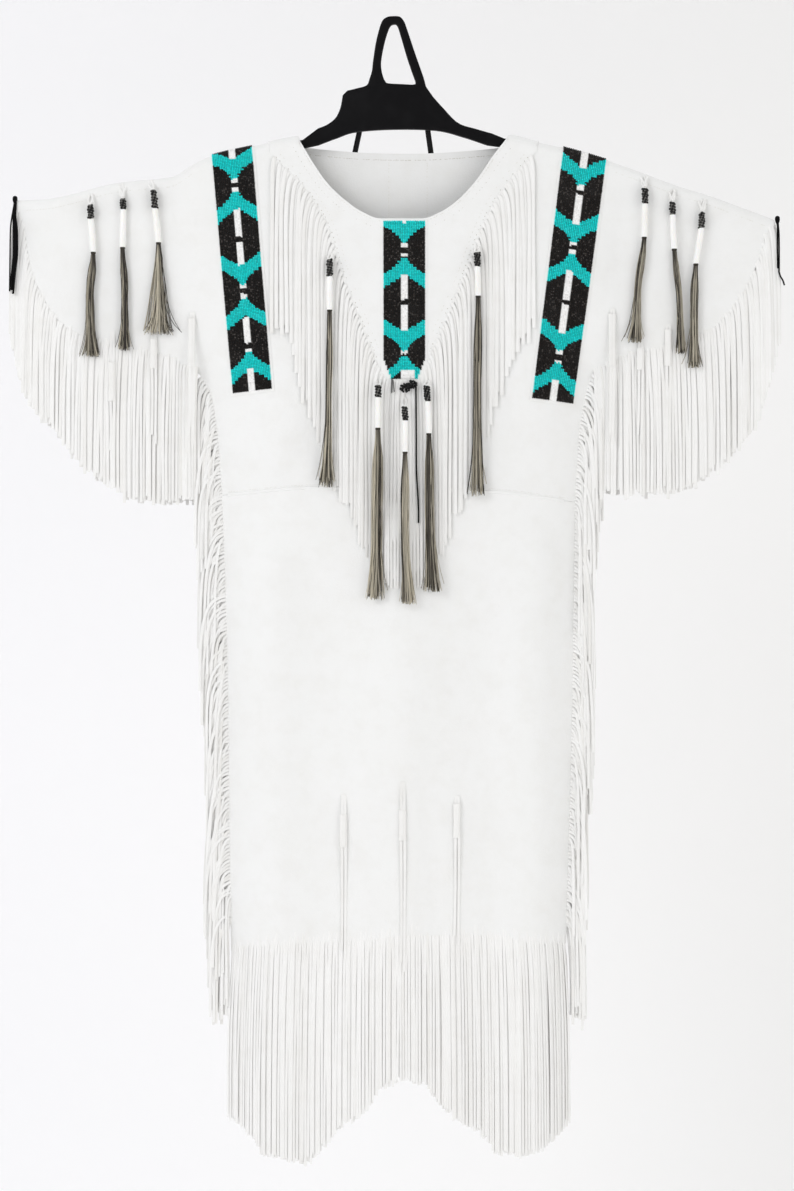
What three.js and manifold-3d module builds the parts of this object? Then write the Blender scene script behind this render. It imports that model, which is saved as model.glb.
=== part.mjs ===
// A beaded buckskin dress hanging on its plastic hanger, in millimetres with +Z up.
// The front faces -Y. The origin is the inside top of the hanger's loop, where a hook carries it.
// _r and _l mark the wearer's right and left, which lie towards -X and +X.

import * as THREE from 'three';
import Module from 'manifold-3d';

const wasm = await Module();
wasm.setup();

// ------------------------------------------------------------------ driving dimensions

const LEATHER = 1.6; // wall of every buckskin piece
const SEAM_GAP = 0.3; // air between pieces that are sewn together
const HALF_GAP = SEAM_GAP / 2;
const BEADWORK = 2.0; // bead strip with its leather backing
const FOLD_RADIUS = 12; // rounding of the cloth over the shoulder line
const FOLD_STEPS = 3;
const DEPTH_SETTLES = 200; // drop below the shoulder over which the body opens to its full depth
const SEAM_REACH = 110; // width over which front and back close together at a side seam
const HEM_FLARE = 4; // extra half depth at the hem
const UNDERARM_Z = -454;
const YOKE_SEAM_Z = -612;
const HEM_Z = -1190;
const SEAM_ROUNDING = 2.2; // how full the cloth stands beside a side seam; 1 is a straight taper
const FOLDS_BEGIN = 60; // drop below the shoulder over which the soft folds come in

const BIB_LOW = LEATHER + SEAM_GAP; // heights above a panel's inner face
const BIB_HIGH = BIB_LOW + LEATHER;
const CENTRE_STRIP_LOW = BIB_HIGH + SEAM_GAP;
const WRAP_BEHIND = 18; // how far a shoulder strip runs down the back

// The top fold, from the tip of the wearer's right sleeve to the tip of the left one.
const SHOULDER_LINE = [
  { x: -493, z: -230 },
  { x: -459, z: -229 },
  { x: -416, z: -221 },
  { x: -387, z: -213 },
  { x: -359, z: -207 },
  { x: -320, z: -203 },
  { x: -290, z: -200 },
  { x: -259, z: -182 },
  { x: -239, z: -173 },
  { x: -183, z: -160 },
  { x: -126, z: -148 },
  { x: 10, z: -140 },
  { x: 148, z: -146 },
  { x: 182, z: -154 },
  { x: 218, z: -162 },
  { x: 274, z: -178 },
  { x: 315, z: -192 },
  { x: 363, z: -210 },
  { x: 408, z: -224 },
  { x: 441, z: -236 },
  { x: 484, z: -252 },
  { x: 496, z: -257 },
];

const FRONT_NECKLINE = [
  { x: -126, z: -148 },
  { x: -104, z: -186 },
  { x: -86, z: -211 },
  { x: -65, z: -231 },
  { x: -44, z: -246 },
  { x: -17, z: -256 },
  { x: 35, z: -256 },
  { x: 56, z: -249 },
  { x: 82, z: -231 },
  { x: 107, z: -203 },
  { x: 127, z: -173 },
  { x: 148, z: -146 },
];

const BACK_NECKLINE = [
  { x: -126, z: -148 },
  { x: -119, z: -157 },
  { x: 10, z: -165 },
  { x: 141, z: -157 },
  { x: 148, z: -146 },
];

// Open lower edges of the cape sleeves, from tip to underarm on the right and back out on the left.
const SLEEVE_EDGE_R = [
  { x: -491, z: -238 },
  { x: -487, z: -247 },
  { x: -481, z: -268 },
  { x: -472, z: -320 },
  { x: -453, z: -363 },
  { x: -436, z: -388 },
  { x: -412, z: -405 },
  { x: -359, z: -421 },
  { x: -320, z: -428 },
  { x: -288, z: -438 },
  { x: -254, z: UNDERARM_Z },
];

const SLEEVE_EDGE_L = [
  { x: 256, z: UNDERARM_Z },
  { x: 290, z: -437 },
  { x: 330, z: -429 },
  { x: 365, z: -422 },
  { x: 400, z: -407 },
  { x: 424, z: -388 },
  { x: 443, z: -362 },
  { x: 460, z: -335 },
  { x: 473, z: -302 },
  { x: 482, z: -272 },
  { x: 492, z: -262 },
];

const SIDE_SEAMS = [
  { z: UNDERARM_Z, right: -254, left: 256 },
  { z: -481, right: -239, left: 248 },
  { z: -530, right: -231, left: 240 },
  { z: -618, right: -225, left: 235 },
  { z: -748, right: -220, left: 233 },
  { z: -878, right: -217, left: 231 },
  { z: -1073, right: -215, left: 226 },
  { z: -1210, right: -212, left: 221 },
];

const YOKE_SEAM = [
  { x: -226, z: -612 },
  { x: -94, z: -603 },
  { x: 120, z: -608 },
  { x: 236, z: -621 },
];

const HEM_LINE = [
  { x: -213, z: -1204 },
  { x: -181, z: -1194 },
  { x: -38, z: -1186 },
  { x: 10, z: -1179 },
  { x: 127, z: -1180 },
  { x: 178, z: -1191 },
  { x: 222, z: -1194 },
];

// Half the room between front and back: just under the fold, and at full drop.
const BODY_DEPTH = [
  { x: -493, top: 4, low: 5 },
  { x: -440, top: 8, low: 9 },
  { x: -310, top: 10, low: 11 },
  { x: -250, top: 13, low: 20 },
  { x: -150, top: 14, low: 26 },
  { x: 10, top: 15, low: 27 },
  { x: 160, top: 14, low: 26 },
  { x: 255, top: 13, low: 20 },
  { x: 315, top: 10, low: 11 },
  { x: 440, top: 8, low: 9 },
  { x: 496, top: 4, low: 5 },
];

// Large soft folds: a ridge (height > 0) or trough along a line, with its half width.
const FOLDS = [
  { face: 'front', fromX: -168, fromZ: -700, toX: -174, toZ: -1190, width: 36, height: 7 },
  { face: 'front', fromX: -106, fromZ: -720, toX: -110, toZ: -1190, width: 34, height: -5 },
  { face: 'front', fromX: 4, fromZ: -680, toX: 7, toZ: -1190, width: 42, height: 8 },
  { face: 'front', fromX: 118, fromZ: -720, toX: 124, toZ: -1190, width: 36, height: -6 },
  { face: 'front', fromX: 192, fromZ: -690, toX: 190, toZ: -1190, width: 26, height: 6 },
  { face: 'front', fromX: -84, fromZ: -487, toX: -130, toZ: -585, width: 24, height: -4 },
  { face: 'front', fromX: 128, fromZ: -480, toX: 160, toZ: -580, width: 24, height: -3 },
  { face: 'front', fromX: -478, fromZ: -272, toX: -407, toZ: -240, width: 20, height: -2 },
  { face: 'front', fromX: -330, fromZ: -230, toX: -300, toZ: -400, width: 26, height: 3 },
  { face: 'front', fromX: 350, fromZ: -240, toX: 318, toZ: -400, width: 26, height: 3 },
  { face: 'back', fromX: -120, fromZ: -460, toX: -130, toZ: -1190, width: 38, height: 6 },
  { face: 'back', fromX: -30, fromZ: -520, toX: -26, toZ: -1190, width: 40, height: -5 },
  { face: 'back', fromX: 66, fromZ: -480, toX: 74, toZ: -1190, width: 40, height: 7 },
  { face: 'back', fromX: 168, fromZ: -640, toX: 172, toZ: -1190, width: 30, height: 4 },
];

// Grid lines across the yoke, in runs of even steps.
const YOKE_COLUMNS = [
  { from: -491, to: -471, steps: 4 }, // steep end of the right sleeve
  { from: -471, to: -436, steps: 2 },
  { from: -436, to: -254, steps: 6 },
  { from: -254, to: -126, steps: 5 }, // shoulder
  { from: -126, to: -104, steps: 2 }, // corner of the neck
  { from: -104, to: 125, steps: 9 },
  { from: 125, to: 148, steps: 2 },
  { from: 148, to: 256, steps: 4 },
  { from: 256, to: 440, steps: 6 },
  { from: 440, to: 474, steps: 2 },
  { from: 474, to: 492, steps: 4 },
];
const YOKE_DROP_STEPS = 5; // rows from the fold to the underarm
const YOKE_LOWER_ROWS = [0.12, 0.32, 1]; // shares of the way from underarm to yoke seam
const SKIRT_COLUMNS = 20;
const SKIRT_ROWS = 7;

const BIB_EDGE = [
  { z: -130, right: -176, left: 200 },
  { z: -174, right: -159, left: 178 },
  { z: -213, right: -122, left: 145 },
  { z: -265, right: -90, left: 115 },
  { z: -332, right: -68, left: 90 },
  { z: -407, right: -39, left: 58 },
  { z: -458, right: -17, left: 37 },
  { z: -466, right: -9, left: 33 },
];

// Shoulder strips: each long edge from its foot to where it passes the shoulder, and the
// columns of the yoke that the strip is cut from.
const SHOULDER_STRIPS = [
  {
    tag: 'r',
    outer: { lowX: -209, lowZ: -481, topX: -237, topZ: -174 },
    inner: { lowX: -158, lowZ: -476, topX: -185, topZ: -161 },
    columns: { from: -281, to: -126 },
  },
  {
    tag: 'l',
    outer: { lowX: 230, lowZ: -494, topX: 274, topZ: -174 },
    inner: { lowX: 176, lowZ: -488, topX: 218, topZ: -160 },
    columns: { from: 148, to: 310 },
  },
];
const STRIP_OVERRUN = 1.12; // a shoulder strip's outline runs on past the fold by this share
const CENTRE_STRIP = {
  right: -15, left: 39, top: -200, bevel: -445, foot: -464, footRight: -7, footLeft: 32,
  columns: { from: -60, to: 80 },
};
const BIB_COLUMNS = { from: -184, to: 214 };
const BIB_OUTLINE_HEIGHTS = 13;

const STRAND = 1.6; // thickness of a fringe strand
const BAND = 5; // backing strip that the strands grow from
const BAND_STEP = 31; // longest straight run of a backing strip
const BAND_GAP = 1.2; // air between a backing strip and the cloth's edge
const EDGE_SAMPLES = 90; // places along an edge that a band follows
const FRINGE_HEIGHT = LEATHER + 2; // middle of a strand that lies on a panel
const SLEEVE_HANG = 8.5; // least distance of hanging sleeve fringe from the middle plane
const HEM_HANG = 5; // and of hem fringe
const UNEVEN_ENDS = 5; // how far strand ends stray from the line of ends
const STRAY = { ends: 7.3, sleeve: 3.1, hem: 2.7, side: 2.1, sideEnds: 5.7 }; // turns between strands

const SLEEVE_FRINGES = {
  r: { fromX: -490.5, toX: -256, outer: -1, driftAtStart: 6, driftAtEnd: 2 },
  l: { fromX: 258, toX: 491.5, outer: 1, driftAtStart: 2, driftAtEnd: 6 },
};
const SLEEVE_STRANDS = { front: { count: 19, width: 7.4 }, back: { count: 11, width: 8 } };
const BIB_STRANDS = { count: 16, width: 6, lowZ: -463, topZ: { r: -168, l: -166 } };
const HEM_STRANDS = {
  front: { count: 36, width: 7, shorter: 0 },
  back: { count: 20, width: 10, shorter: 6 },
};

const SLEEVE_FRINGE_ENDS_R = [
  { x: -502, z: -389 },
  { x: -495, z: -422 },
  { x: -488, z: -452 },
  { x: -478, z: -486 },
  { x: -459, z: -511 },
  { x: -443, z: -524 },
  { x: -422, z: -554 },
  { x: -391, z: -586 },
  { x: -361, z: -602 },
  { x: -346, z: -615 },
  { x: -307, z: -621 },
  { x: -262, z: -618 },
];

const SLEEVE_FRINGE_ENDS_L = [
  { x: 267, z: -608 },
  { x: 343, z: -608 },
  { x: 376, z: -604 },
  { x: 411, z: -582 },
  { x: 428, z: -569 },
  { x: 443, z: -554 },
  { x: 463, z: -528 },
  { x: 473, z: -511 },
  { x: 480, z: -486 },
  { x: 489, z: -454 },
  { x: 498, z: -402 },
];

const BIB_FRINGE_ENDS_R = [
  { x: -158, z: -408 },
  { x: -138, z: -413 },
  { x: -127, z: -455 },
  { x: -112, z: -507 },
  { x: -95, z: -560 },
  { x: -81, z: -603 },
  { x: -61, z: -629 },
  { x: -41, z: -686 },
  { x: -3, z: -731 },
];

const BIB_FRINGE_ENDS_L = [
  { x: 28, z: -731 },
  { x: 64, z: -684 },
  { x: 77, z: -646 },
  { x: 92, z: -612 },
  { x: 112, z: -570 },
  { x: 127, z: -507 },
  { x: 140, z: -471 },
  { x: 153, z: -439 },
  { x: 169, z: -416 },
  { x: 182, z: -368 },
];

const HEM_FRINGE_ENDS = [
  { x: -224, z: -1413 },
  { x: -204, z: -1425 },
  { x: -182, z: -1446 },
  { x: -170, z: -1462 },
  { x: -144, z: -1466 },
  { x: -116, z: -1472 },
  { x: -100, z: -1462 },
  { x: -68, z: -1424 },
  { x: -42, z: -1408 },
  { x: -14, z: -1372 },
  { x: 12, z: -1364 },
  { x: 38, z: -1370 },
  { x: 54, z: -1392 },
  { x: 88, z: -1422 },
  { x: 110, z: -1434 },
  { x: 138, z: -1462 },
  { x: 166, z: -1464 },
  { x: 190, z: -1456 },
  { x: 212, z: -1440 },
  { x: 233, z: -1420 },
];

const SIDE_FRINGE = { length: 150, strands: 22, width: 4, fan: { r: 30, l: 22 }, firstZ: -476, lastZ: -1150 };

// Hair tassels: thong top, black bead wrap, white tube, then the hair's foot and its spread.
const TASSELS = [
  {
    name: 'sleeve_r_1', topX: -394, topZ: -230, x: -392,
    wrap: -236, tube: -256, hair: -298, tipX: -392, tipZ: -432, spread: 24,
  },
  {
    name: 'sleeve_r_2', topX: -355, topZ: -212, x: -351,
    wrap: -228, tube: -245, hair: -291, tipX: -350, tipZ: -424, spread: 18,
  },
  {
    name: 'sleeve_r_3', topX: -316, topZ: -208, x: -312,
    wrap: -218, tube: -243, hair: -286, tipX: -309, tipZ: -404, spread: 44,
  },
  {
    name: 'sleeve_l_1', topX: 319, topZ: -200, x: 323,
    wrap: -215, tube: -238, hair: -279, tipX: 309, tipZ: -415, spread: 21,
  },
  {
    name: 'sleeve_l_2', topX: 361, topZ: -216, x: 358,
    wrap: -233, tube: -251, hair: -294, tipX: 370, tipZ: -430, spread: 16,
  },
  {
    name: 'sleeve_l_3', topX: 400, topZ: -229, x: 396,
    wrap: -246, tube: -268, hair: -314, tipX: 388, tipZ: -448, spread: 21,
  },
  {
    name: 'bib_r', topX: -83, topZ: -300, x: -83,
    wrap: -308, tube: -333, hair: -374, tipX: -88, tipZ: -602, spread: 23,
  },
  {
    name: 'bib_l', topX: 105, topZ: -290, x: 105,
    wrap: -299, tube: -319, hair: -357, tipX: 106, tipZ: -613, spread: 20,
  },
  {
    name: 'point_r', topX: -20, topZ: -461, x: -22,
    wrap: -470, tube: -489, hair: -527, tipX: -25, tipZ: -745, spread: 25,
  },
  {
    name: 'point_m', topX: 12, topZ: -484, x: 12,
    wrap: -498, tube: -519, hair: -558, tipX: 16, tipZ: -751, spread: 18,
  },
  {
    name: 'point_l', topX: 40, topZ: -462, x: 42,
    wrap: -471, tube: -494, hair: -534, tipX: 49, tipZ: -735, spread: 22,
  },
];
const TASSEL = { thong: 1.6, wrap: 5.4, tube: 3.7, sides: 6, lock: 2.6, locks: 3 };

// White thong ties: a loop out of the cloth, a rolled tube and two loose strings.
const TIES = [
  { name: 'tie_skirt_r', x: -66, topZ: -998, tube: -1024, strings: -1066, tipX: -66, tipZ: -1204 },
  { name: 'tie_skirt_m', x: 10, topZ: -981, tube: -1017, strings: -1056, tipX: 10, tipZ: -1219 },
  { name: 'tie_skirt_l', x: 80, topZ: -1000, tube: -1010, strings: -1054, tipX: 79, tipZ: -1186 },
  { name: 'tie_sleeve_r_1', x: -262, topZ: -376, tube: -384, strings: -447, tipX: -264, tipZ: -540 },
  { name: 'tie_sleeve_r_2', x: -312, topZ: -398, tube: -410, strings: -448, tipX: -312, tipZ: -540 },
  { name: 'tie_sleeve_r_3', x: -366, topZ: -400, tube: -440, strings: -490, tipX: -366, tipZ: -560 },
  { name: 'tie_sleeve_l_1', x: 281, topZ: -370, tube: -378, strings: -446, tipX: 280, tipZ: -540 },
  { name: 'tie_sleeve_l_2', x: 318, topZ: -412, tube: -422, strings: -450, tipX: 317, tipZ: -540 },
  { name: 'tie_sleeve_l_3', x: 354, topZ: -390, tube: -398, strings: -445, tipX: 354, tipZ: -550 },
];
const TIE = { thong: 1.6, tube: 4.6, sides: 6, string: 1.3 };
const LYING = 0.7; // air between a thong and the cloth behind it

const CUFF_THONGS = [
  { name: 'cuff_thong_r', x: -494.5, topZ: -226, tipX: -499, tipZ: -350, towards: -1 },
  { name: 'cuff_thong_l', x: 497.5, topZ: -252, tipX: 500, tipZ: -338, towards: 1 },
];

const BEAD_DROP = {
  x: 20, topZ: -466, footZ: -481, radius: 7, cordX: 27, cordTipX: 30, cordTipZ: -649, cord: 0.9,
};

const HANGER_THICKNESS = 7;
const HANGER_BEVEL = 2;
const ARM_DROP = 2.6; // air between the arm's top and the cloth it carries
const ARM_HEIGHT = 12;
const ARM_END_R = -254;
const ARM_END_L = 262;

// The hanger's outline and the loop's eye, as curves through [X, Z] points.
const HANGER_CURVES = {
  loopRight: [[-62, -86], [-39, -81], [-33, -72], [-26, -49], [-21, -6], [-16, 6], [-8, 10.5]],
  loopLeft: [[2, 11], [9, 9], [15, -2], [25, -34], [37, -70], [41, -82]],
  plateLeft: [[52, -100], [64, -114], [84, -130], [105, -136]],
  plateFoot: [[120, -157], [90, -147], [54, -138], [-2, -136.5], [-51, -140], [-76, -148], [-100, -157]],
  plateRight: [[-100, -135], [-88, -130], [-77, -121], [-71, -108], [-68, -92]],
  eye: [[0, 0], [5, -3], [14, -34], [27, -77], [-10, -77], [-15, -73], [-18, -49], [-10, -10], [-5, -2]],
};
const ARM_ROOTS = { topR: -120, topL: 128, footR: -128, footL: 150 };
const STRUT = {
  halfSpan: 50, middle: -2, topZ: -142, neckZ: -168, barZ: -236, neckY: 27, barY: 36, radius: 3.2,
};

// ------------------------------------------------------------------ finishes

const finish = (color, roughness, metalness = 0) =>
  new THREE.MeshStandardMaterial({ color, roughness, metalness });
const FINISHES = {
  buckskin: () => finish('#f4f2ee', 0.86),
  beadwork: () => finish('#15171a', 0.32),
  tassel: () => finish('#7b7468', 0.6),
  blackThong: () => finish('#141416', 0.55),
  hanger: () => finish('#0e0e10', 0.38),
};

// ------------------------------------------------------------------ small mathematics

const evenly = (count, make) => Array.from({ length: count }, (_, k) => make(k, (k + 0.5) / count));
const clamp01 = (value) => Math.min(1, Math.max(0, value));
const lerp = (from, to, share) => from + (to - from) * share;
const smooth = (value) => clamp01(value) ** 2 * (3 - 2 * clamp01(value));
const spaced = (count, from, to) => evenly(count, (k) => lerp(from, to, k / (count - 1)));

// A smooth curve through the rows of a table that never overshoots them.
function profile(rows, along, across) {
  const knots = [...rows].sort((a, b) => a[along] - b[along]);
  const grade = (i) => (knots[i + 1][across] - knots[i][across]) / (knots[i + 1][along] - knots[i][along]);
  const slopes = knots.map((_, i) => {
    if (i === 0) return grade(0);
    if (i === knots.length - 1) return grade(i - 1);
    const before = grade(i - 1);
    const after = grade(i);
    return before * after <= 0 ? 0 : (2 * before * after) / (before + after);
  });
  return (at) => {
    const last = knots.length - 1;
    const value = Math.min(knots[last][along], Math.max(knots[0][along], at));
    let i = 0;
    while (i < last - 1 && knots[i + 1][along] < value) i += 1;
    const span = knots[i + 1][along] - knots[i][along];
    const t = (value - knots[i][along]) / span;
    const blend = t * t * (3 - 2 * t);
    const leave = t * (1 - t) ** 2 * span * slopes[i];
    const arrive = t * t * (t - 1) * span * slopes[i + 1];
    return lerp(knots[i][across], knots[i + 1][across], blend) + leave + arrive;
  };
}

function distanceToLine(x, z, ax, az, bx, bz) {
  const share = clamp01(((x - ax) * (bx - ax) + (z - az) * (bz - az)) / ((bx - ax) ** 2 + (bz - az) ** 2));
  return Math.hypot(x - lerp(ax, bx, share), z - lerp(az, bz, share));
}

// ------------------------------------------------------------------ the garment's surface

const shoulderLine = profile(SHOULDER_LINE, 'x', 'z');
const neckline = { front: profile(FRONT_NECKLINE, 'x', 'z'), back: profile(BACK_NECKLINE, 'x', 'z') };
const sleeveEdgeR = profile(SLEEVE_EDGE_R, 'x', 'z');
const sleeveEdgeL = profile(SLEEVE_EDGE_L, 'x', 'z');
const seamR = profile(SIDE_SEAMS, 'z', 'right');
const seamL = profile(SIDE_SEAMS, 'z', 'left');
const yokeSeam = profile(YOKE_SEAM, 'x', 'z');
const hemLine = profile(HEM_LINE, 'x', 'z');
const topDepth = profile(BODY_DEPTH, 'x', 'top');
const lowDepth = profile(BODY_DEPTH, 'x', 'low');

function seamDistance(x, z) {
  let nearest = Infinity;
  for (let i = 0; i + 1 < SIDE_SEAMS.length; i += 1) {
    const [upper, lower] = [SIDE_SEAMS[i], SIDE_SEAMS[i + 1]];
    for (const side of ['right', 'left']) {
      nearest = Math.min(nearest, distanceToLine(x, z, upper[side], upper.z, lower[side], lower.z));
    }
  }
  return nearest;
}

function foldRelief(face, x, z) {
  return FOLDS.filter((fold) => fold.face === face).reduce((sum, fold) => {
    const away = distanceToLine(x, z, fold.fromX, fold.fromZ, fold.toX, fold.toZ) / fold.width;
    return sum + fold.height * Math.exp(-away * away);
  }, 0);
}

// Half the room inside the dress at a place on the front or the back.
function depth(face, x, z) {
  const below = Math.max(0, shoulderLine(x) - z);
  const round = below < FOLD_RADIUS ? Math.sqrt(1 - (1 - below / FOLD_RADIUS) ** 2) : 1;
  const open = lerp(topDepth(x), lowDepth(x), smooth(below / DEPTH_SETTLES));
  const flare = HEM_FLARE * smooth((UNDERARM_Z - z) / (UNDERARM_Z - HEM_Z));
  const fromSeam = 1 - (1 - clamp01(seamDistance(x, z) / SEAM_REACH)) ** SEAM_ROUNDING;
  return (open + flare + foldRelief(face, x, z) * smooth(below / FOLDS_BEGIN)) * round * fromSeam;
}

const OUTWARD = { front: -1, back: 1 };

// A node of the surface: its place on the inner face and the way out of the cloth there.
function surfaceNode(face, x, z) {
  const out = OUTWARD[face];
  const step = 1;
  const point = new THREE.Vector3(x, out * (HALF_GAP + depth(face, x, z)), z);
  if (shoulderLine(x) - z < 0.01) {
    const rise = (shoulderLine(x + step) - shoulderLine(x - step)) / (2 * step);
    return { point, normal: new THREE.Vector3(-rise, 0, 1).normalize() };
  }
  const across = (depth(face, x + step, z) - depth(face, x - step, z)) / (2 * step);
  const upward = Math.min(step, shoulderLine(x) - z);
  const climb = (depth(face, x, z + upward) - depth(face, x, z - step)) / (upward + step);
  return { point, normal: new THREE.Vector3(-across, out, -climb).normalize() };
}

const raised = (node, height) => node.point.clone().addScaledVector(node.normal, height);

// The furthest that a panel's outer face stands forward along a hanging line.
function standsForward(face, fromX, fromZ, toX, toZ) {
  const samples = 12;
  let furthest = 0;
  for (let i = 0; i <= samples; i += 1) {
    const x = lerp(fromX, toX, i / samples);
    furthest = Math.max(furthest, depth(face, x, lerp(fromZ, toZ, i / samples)));
  }
  return HALF_GAP + furthest + LEATHER;
}

// ------------------------------------------------------------------ solids from faces

function geometryFrom(points, triangles) {
  const geometry = new THREE.BufferGeometry();
  const positions = points.flatMap((point) => [point.x, point.y, point.z]);
  geometry.setAttribute('position', new THREE.Float32BufferAttribute(positions, 3));
  geometry.setIndex(triangles);
  return geometry;
}

// Turns the faces of a closed mesh outwards where they were wound inwards.
function facingOut(points, triangles) {
  let volume = 0;
  for (let i = 0; i < triangles.length; i += 3) {
    const [a, b, c] = [points[triangles[i]], points[triangles[i + 1]], points[triangles[i + 2]]];
    volume += a.dot(new THREE.Vector3().crossVectors(b, c));
  }
  return geometryFrom(points, volume < 0 ? triangles.reverse() : triangles);
}

// A wall between two heights over a grid of surface nodes; cells with a missing corner are left out.
function wallOver(grid, low, high) {
  const points = [];
  const triangles = [];
  const placed = grid.map((row) => row.map((node) => {
    if (!node) return null;
    points.push(raised(node, low), raised(node, high));
    return { inner: points.length - 2, outer: points.length - 1 };
  }));
  const quad = (a, b, c, d) => triangles.push(a, b, c, a, c, d);
  const cell = (i, j) => placed[i]?.[j] && placed[i + 1]?.[j] && placed[i]?.[j + 1] && placed[i + 1]?.[j + 1];
  const wall = (from, to) => quad(to.outer, from.outer, from.inner, to.inner);
  for (let i = 0; i + 1 < grid.length; i += 1) {
    for (let j = 0; j + 1 < grid[i].length; j += 1) {
      if (!cell(i, j)) continue;
      const [a, b, c, d] = [placed[i][j], placed[i + 1][j], placed[i + 1][j + 1], placed[i][j + 1]];
      quad(a.outer, b.outer, c.outer, d.outer);
      quad(c.inner, b.inner, a.inner, d.inner);
      if (!cell(i, j - 1)) wall(a, b);
      if (!cell(i + 1, j)) wall(b, c);
      if (!cell(i, j + 1)) wall(c, d);
      if (!cell(i - 1, j)) wall(d, a);
    }
  }
  return facingOut(points, triangles);
}

// A closed tube of flat rings, each { x, y, z, rx, ry }.
function loft(sections, sides) {
  const points = [];
  const triangles = [];
  for (const { x, y, z, rx, ry } of sections) {
    for (let k = 0; k < sides; k += 1) {
      const turn = ((k + 0.5) / sides) * 2 * Math.PI;
      points.push(new THREE.Vector3(x + rx * Math.cos(turn), y + ry * Math.sin(turn), z));
    }
  }
  for (let s = 0; s + 1 < sections.length; s += 1) {
    for (let k = 0; k < sides; k += 1) {
      const [a, b] = [s * sides + k, s * sides + ((k + 1) % sides)];
      triangles.push(a, b, b + sides, a, b + sides, a + sides);
    }
  }
  const last = (sections.length - 1) * sides;
  for (let k = 1; k + 1 < sides; k += 1) {
    triangles.push(0, k + 1, k, last, last + k, last + k + 1);
  }
  return facingOut(points, triangles);
}

function solidOf(geometry) {
  return new wasm.Manifold(new wasm.Mesh({
    numProp: 3,
    vertProperties: Float32Array.from(geometry.attributes.position.array),
    triVerts: Uint32Array.from(geometry.index.array),
  }));
}

function geometryOf(solid) {
  const mesh = solid.getMesh();
  const geometry = new THREE.BufferGeometry();
  geometry.setAttribute('position', new THREE.Float32BufferAttribute(mesh.vertProperties, 3));
  geometry.setIndex(Array.from(mesh.triVerts));
  return geometry;
}

const joined = (geometries) => geometryOf(geometries.map(solidOf).reduce((sum, next) => sum.add(next)));

// Keeps what lies inside an outline in X and Z, at any depth.
function trimmedTo(geometry, outline) {
  const reach = 100;
  const shape = new THREE.Shape(outline.map(([x, z]) => new THREE.Vector2(x, z)));
  const prism = new THREE.ExtrudeGeometry(shape, { depth: 2 * reach, bevelEnabled: false });
  prism.rotateX(Math.PI / 2);
  prism.translate(0, reach, 0);
  return geometryOf(solidOf(geometry).intersect(solidOf(merged(prism))));
}

function merged(geometry) {
  const flat = geometry.index ? geometry.toNonIndexed() : geometry;
  const source = flat.attributes.position;
  const points = [];
  const seen = new Map();
  const triangles = [];
  for (let i = 0; i < source.count; i += 1) {
    const point = new THREE.Vector3().fromBufferAttribute(source, i);
    const key = point.toArray().map((value) => Math.round(value * 1e4)).join();
    if (!seen.has(key)) seen.set(key, points.push(point) - 1);
    triangles.push(seen.get(key));
  }
  return facingOut(points, triangles);
}

// ------------------------------------------------------------------ panels

const yokeColumns = YOKE_COLUMNS.flatMap(({ from, to, steps }) =>
  evenly(steps, (k) => lerp(from, to, k / steps))).concat(YOKE_COLUMNS.at(-1).to);
const [underarmR, underarmL] = [SIDE_SEAMS[0].right, SIDE_SEAMS[0].left];
const inBody = (x) => x >= underarmR && x <= underarmL;

function yokeTop(face, x) {
  const inNeck = x > FRONT_NECKLINE[0].x && x < FRONT_NECKLINE.at(-1).x;
  return inNeck ? neckline[face](x) : shoulderLine(x);
}

function yokeFoot(x) {
  if (x < underarmR) return sleeveEdgeR(x);
  if (x > underarmL) return sleeveEdgeL(x);
  return UNDERARM_Z;
}

// The sleeve's lower edge as the yoke's grid has it, straight between its columns.
function builtFoot(x) {
  const j = Math.max(1, yokeColumns.findIndex((column) => column >= x));
  const share = (x - yokeColumns[j - 1]) / (yokeColumns[j] - yokeColumns[j - 1]);
  return lerp(yokeFoot(yokeColumns[j - 1]), yokeFoot(yokeColumns[j]), share);
}

// Rows of the yoke: the fold, the drop to the underarm or sleeve edge, then the body below.
function yokeGrid(face) {
  const grid = [];
  for (let step = 0; step <= FOLD_STEPS + YOKE_DROP_STEPS; step += 1) {
    grid.push(yokeColumns.map((x) => {
      const [top, foot] = [yokeTop(face, x), yokeFoot(x)];
      const roll = Math.min(FOLD_RADIUS, 0.4 * (top - foot));
      const turn = (step / FOLD_STEPS) * (Math.PI / 2);
      const drop = (step - FOLD_STEPS) / YOKE_DROP_STEPS;
      const z = step <= FOLD_STEPS ? top - roll * (1 - Math.cos(turn)) : lerp(top - roll, foot, drop);
      return surfaceNode(face, x, z);
    }));
  }
  for (const share of YOKE_LOWER_ROWS) {
    grid.push(yokeColumns.map((x) => (inBody(x) ? bodyNode(face, across(x), share) : null)));
  }
  return grid;
}

const across = (x) => (x - underarmR) / (underarmL - underarmR);

const seamAt = (width) => yokeSeam(lerp(seamR(YOKE_SEAM_Z), seamL(YOKE_SEAM_Z), width));
const hemAt = (width) => hemLine(lerp(seamR(HEM_Z), seamL(HEM_Z), width));

// A place below the underarm, by its share of the width and of the way down to the yoke seam.
function bodyNode(face, width, share) {
  const z = lerp(UNDERARM_Z, seamAt(width) + HALF_GAP, share);
  return surfaceNode(face, lerp(seamR(z), seamL(z), width), z);
}

function skirtGrid(face) {
  return evenly(SKIRT_ROWS + 1, (row) => evenly(SKIRT_COLUMNS + 1, (column) => {
    const width = column / SKIRT_COLUMNS;
    const z = lerp(seamAt(width) - HALF_GAP, hemAt(width), row / SKIRT_ROWS);
    return surfaceNode(face, lerp(seamR(z), seamL(z), width), z);
  }));
}

const gridFront = yokeGrid('front');
const gridBack = yokeGrid('back');

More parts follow.
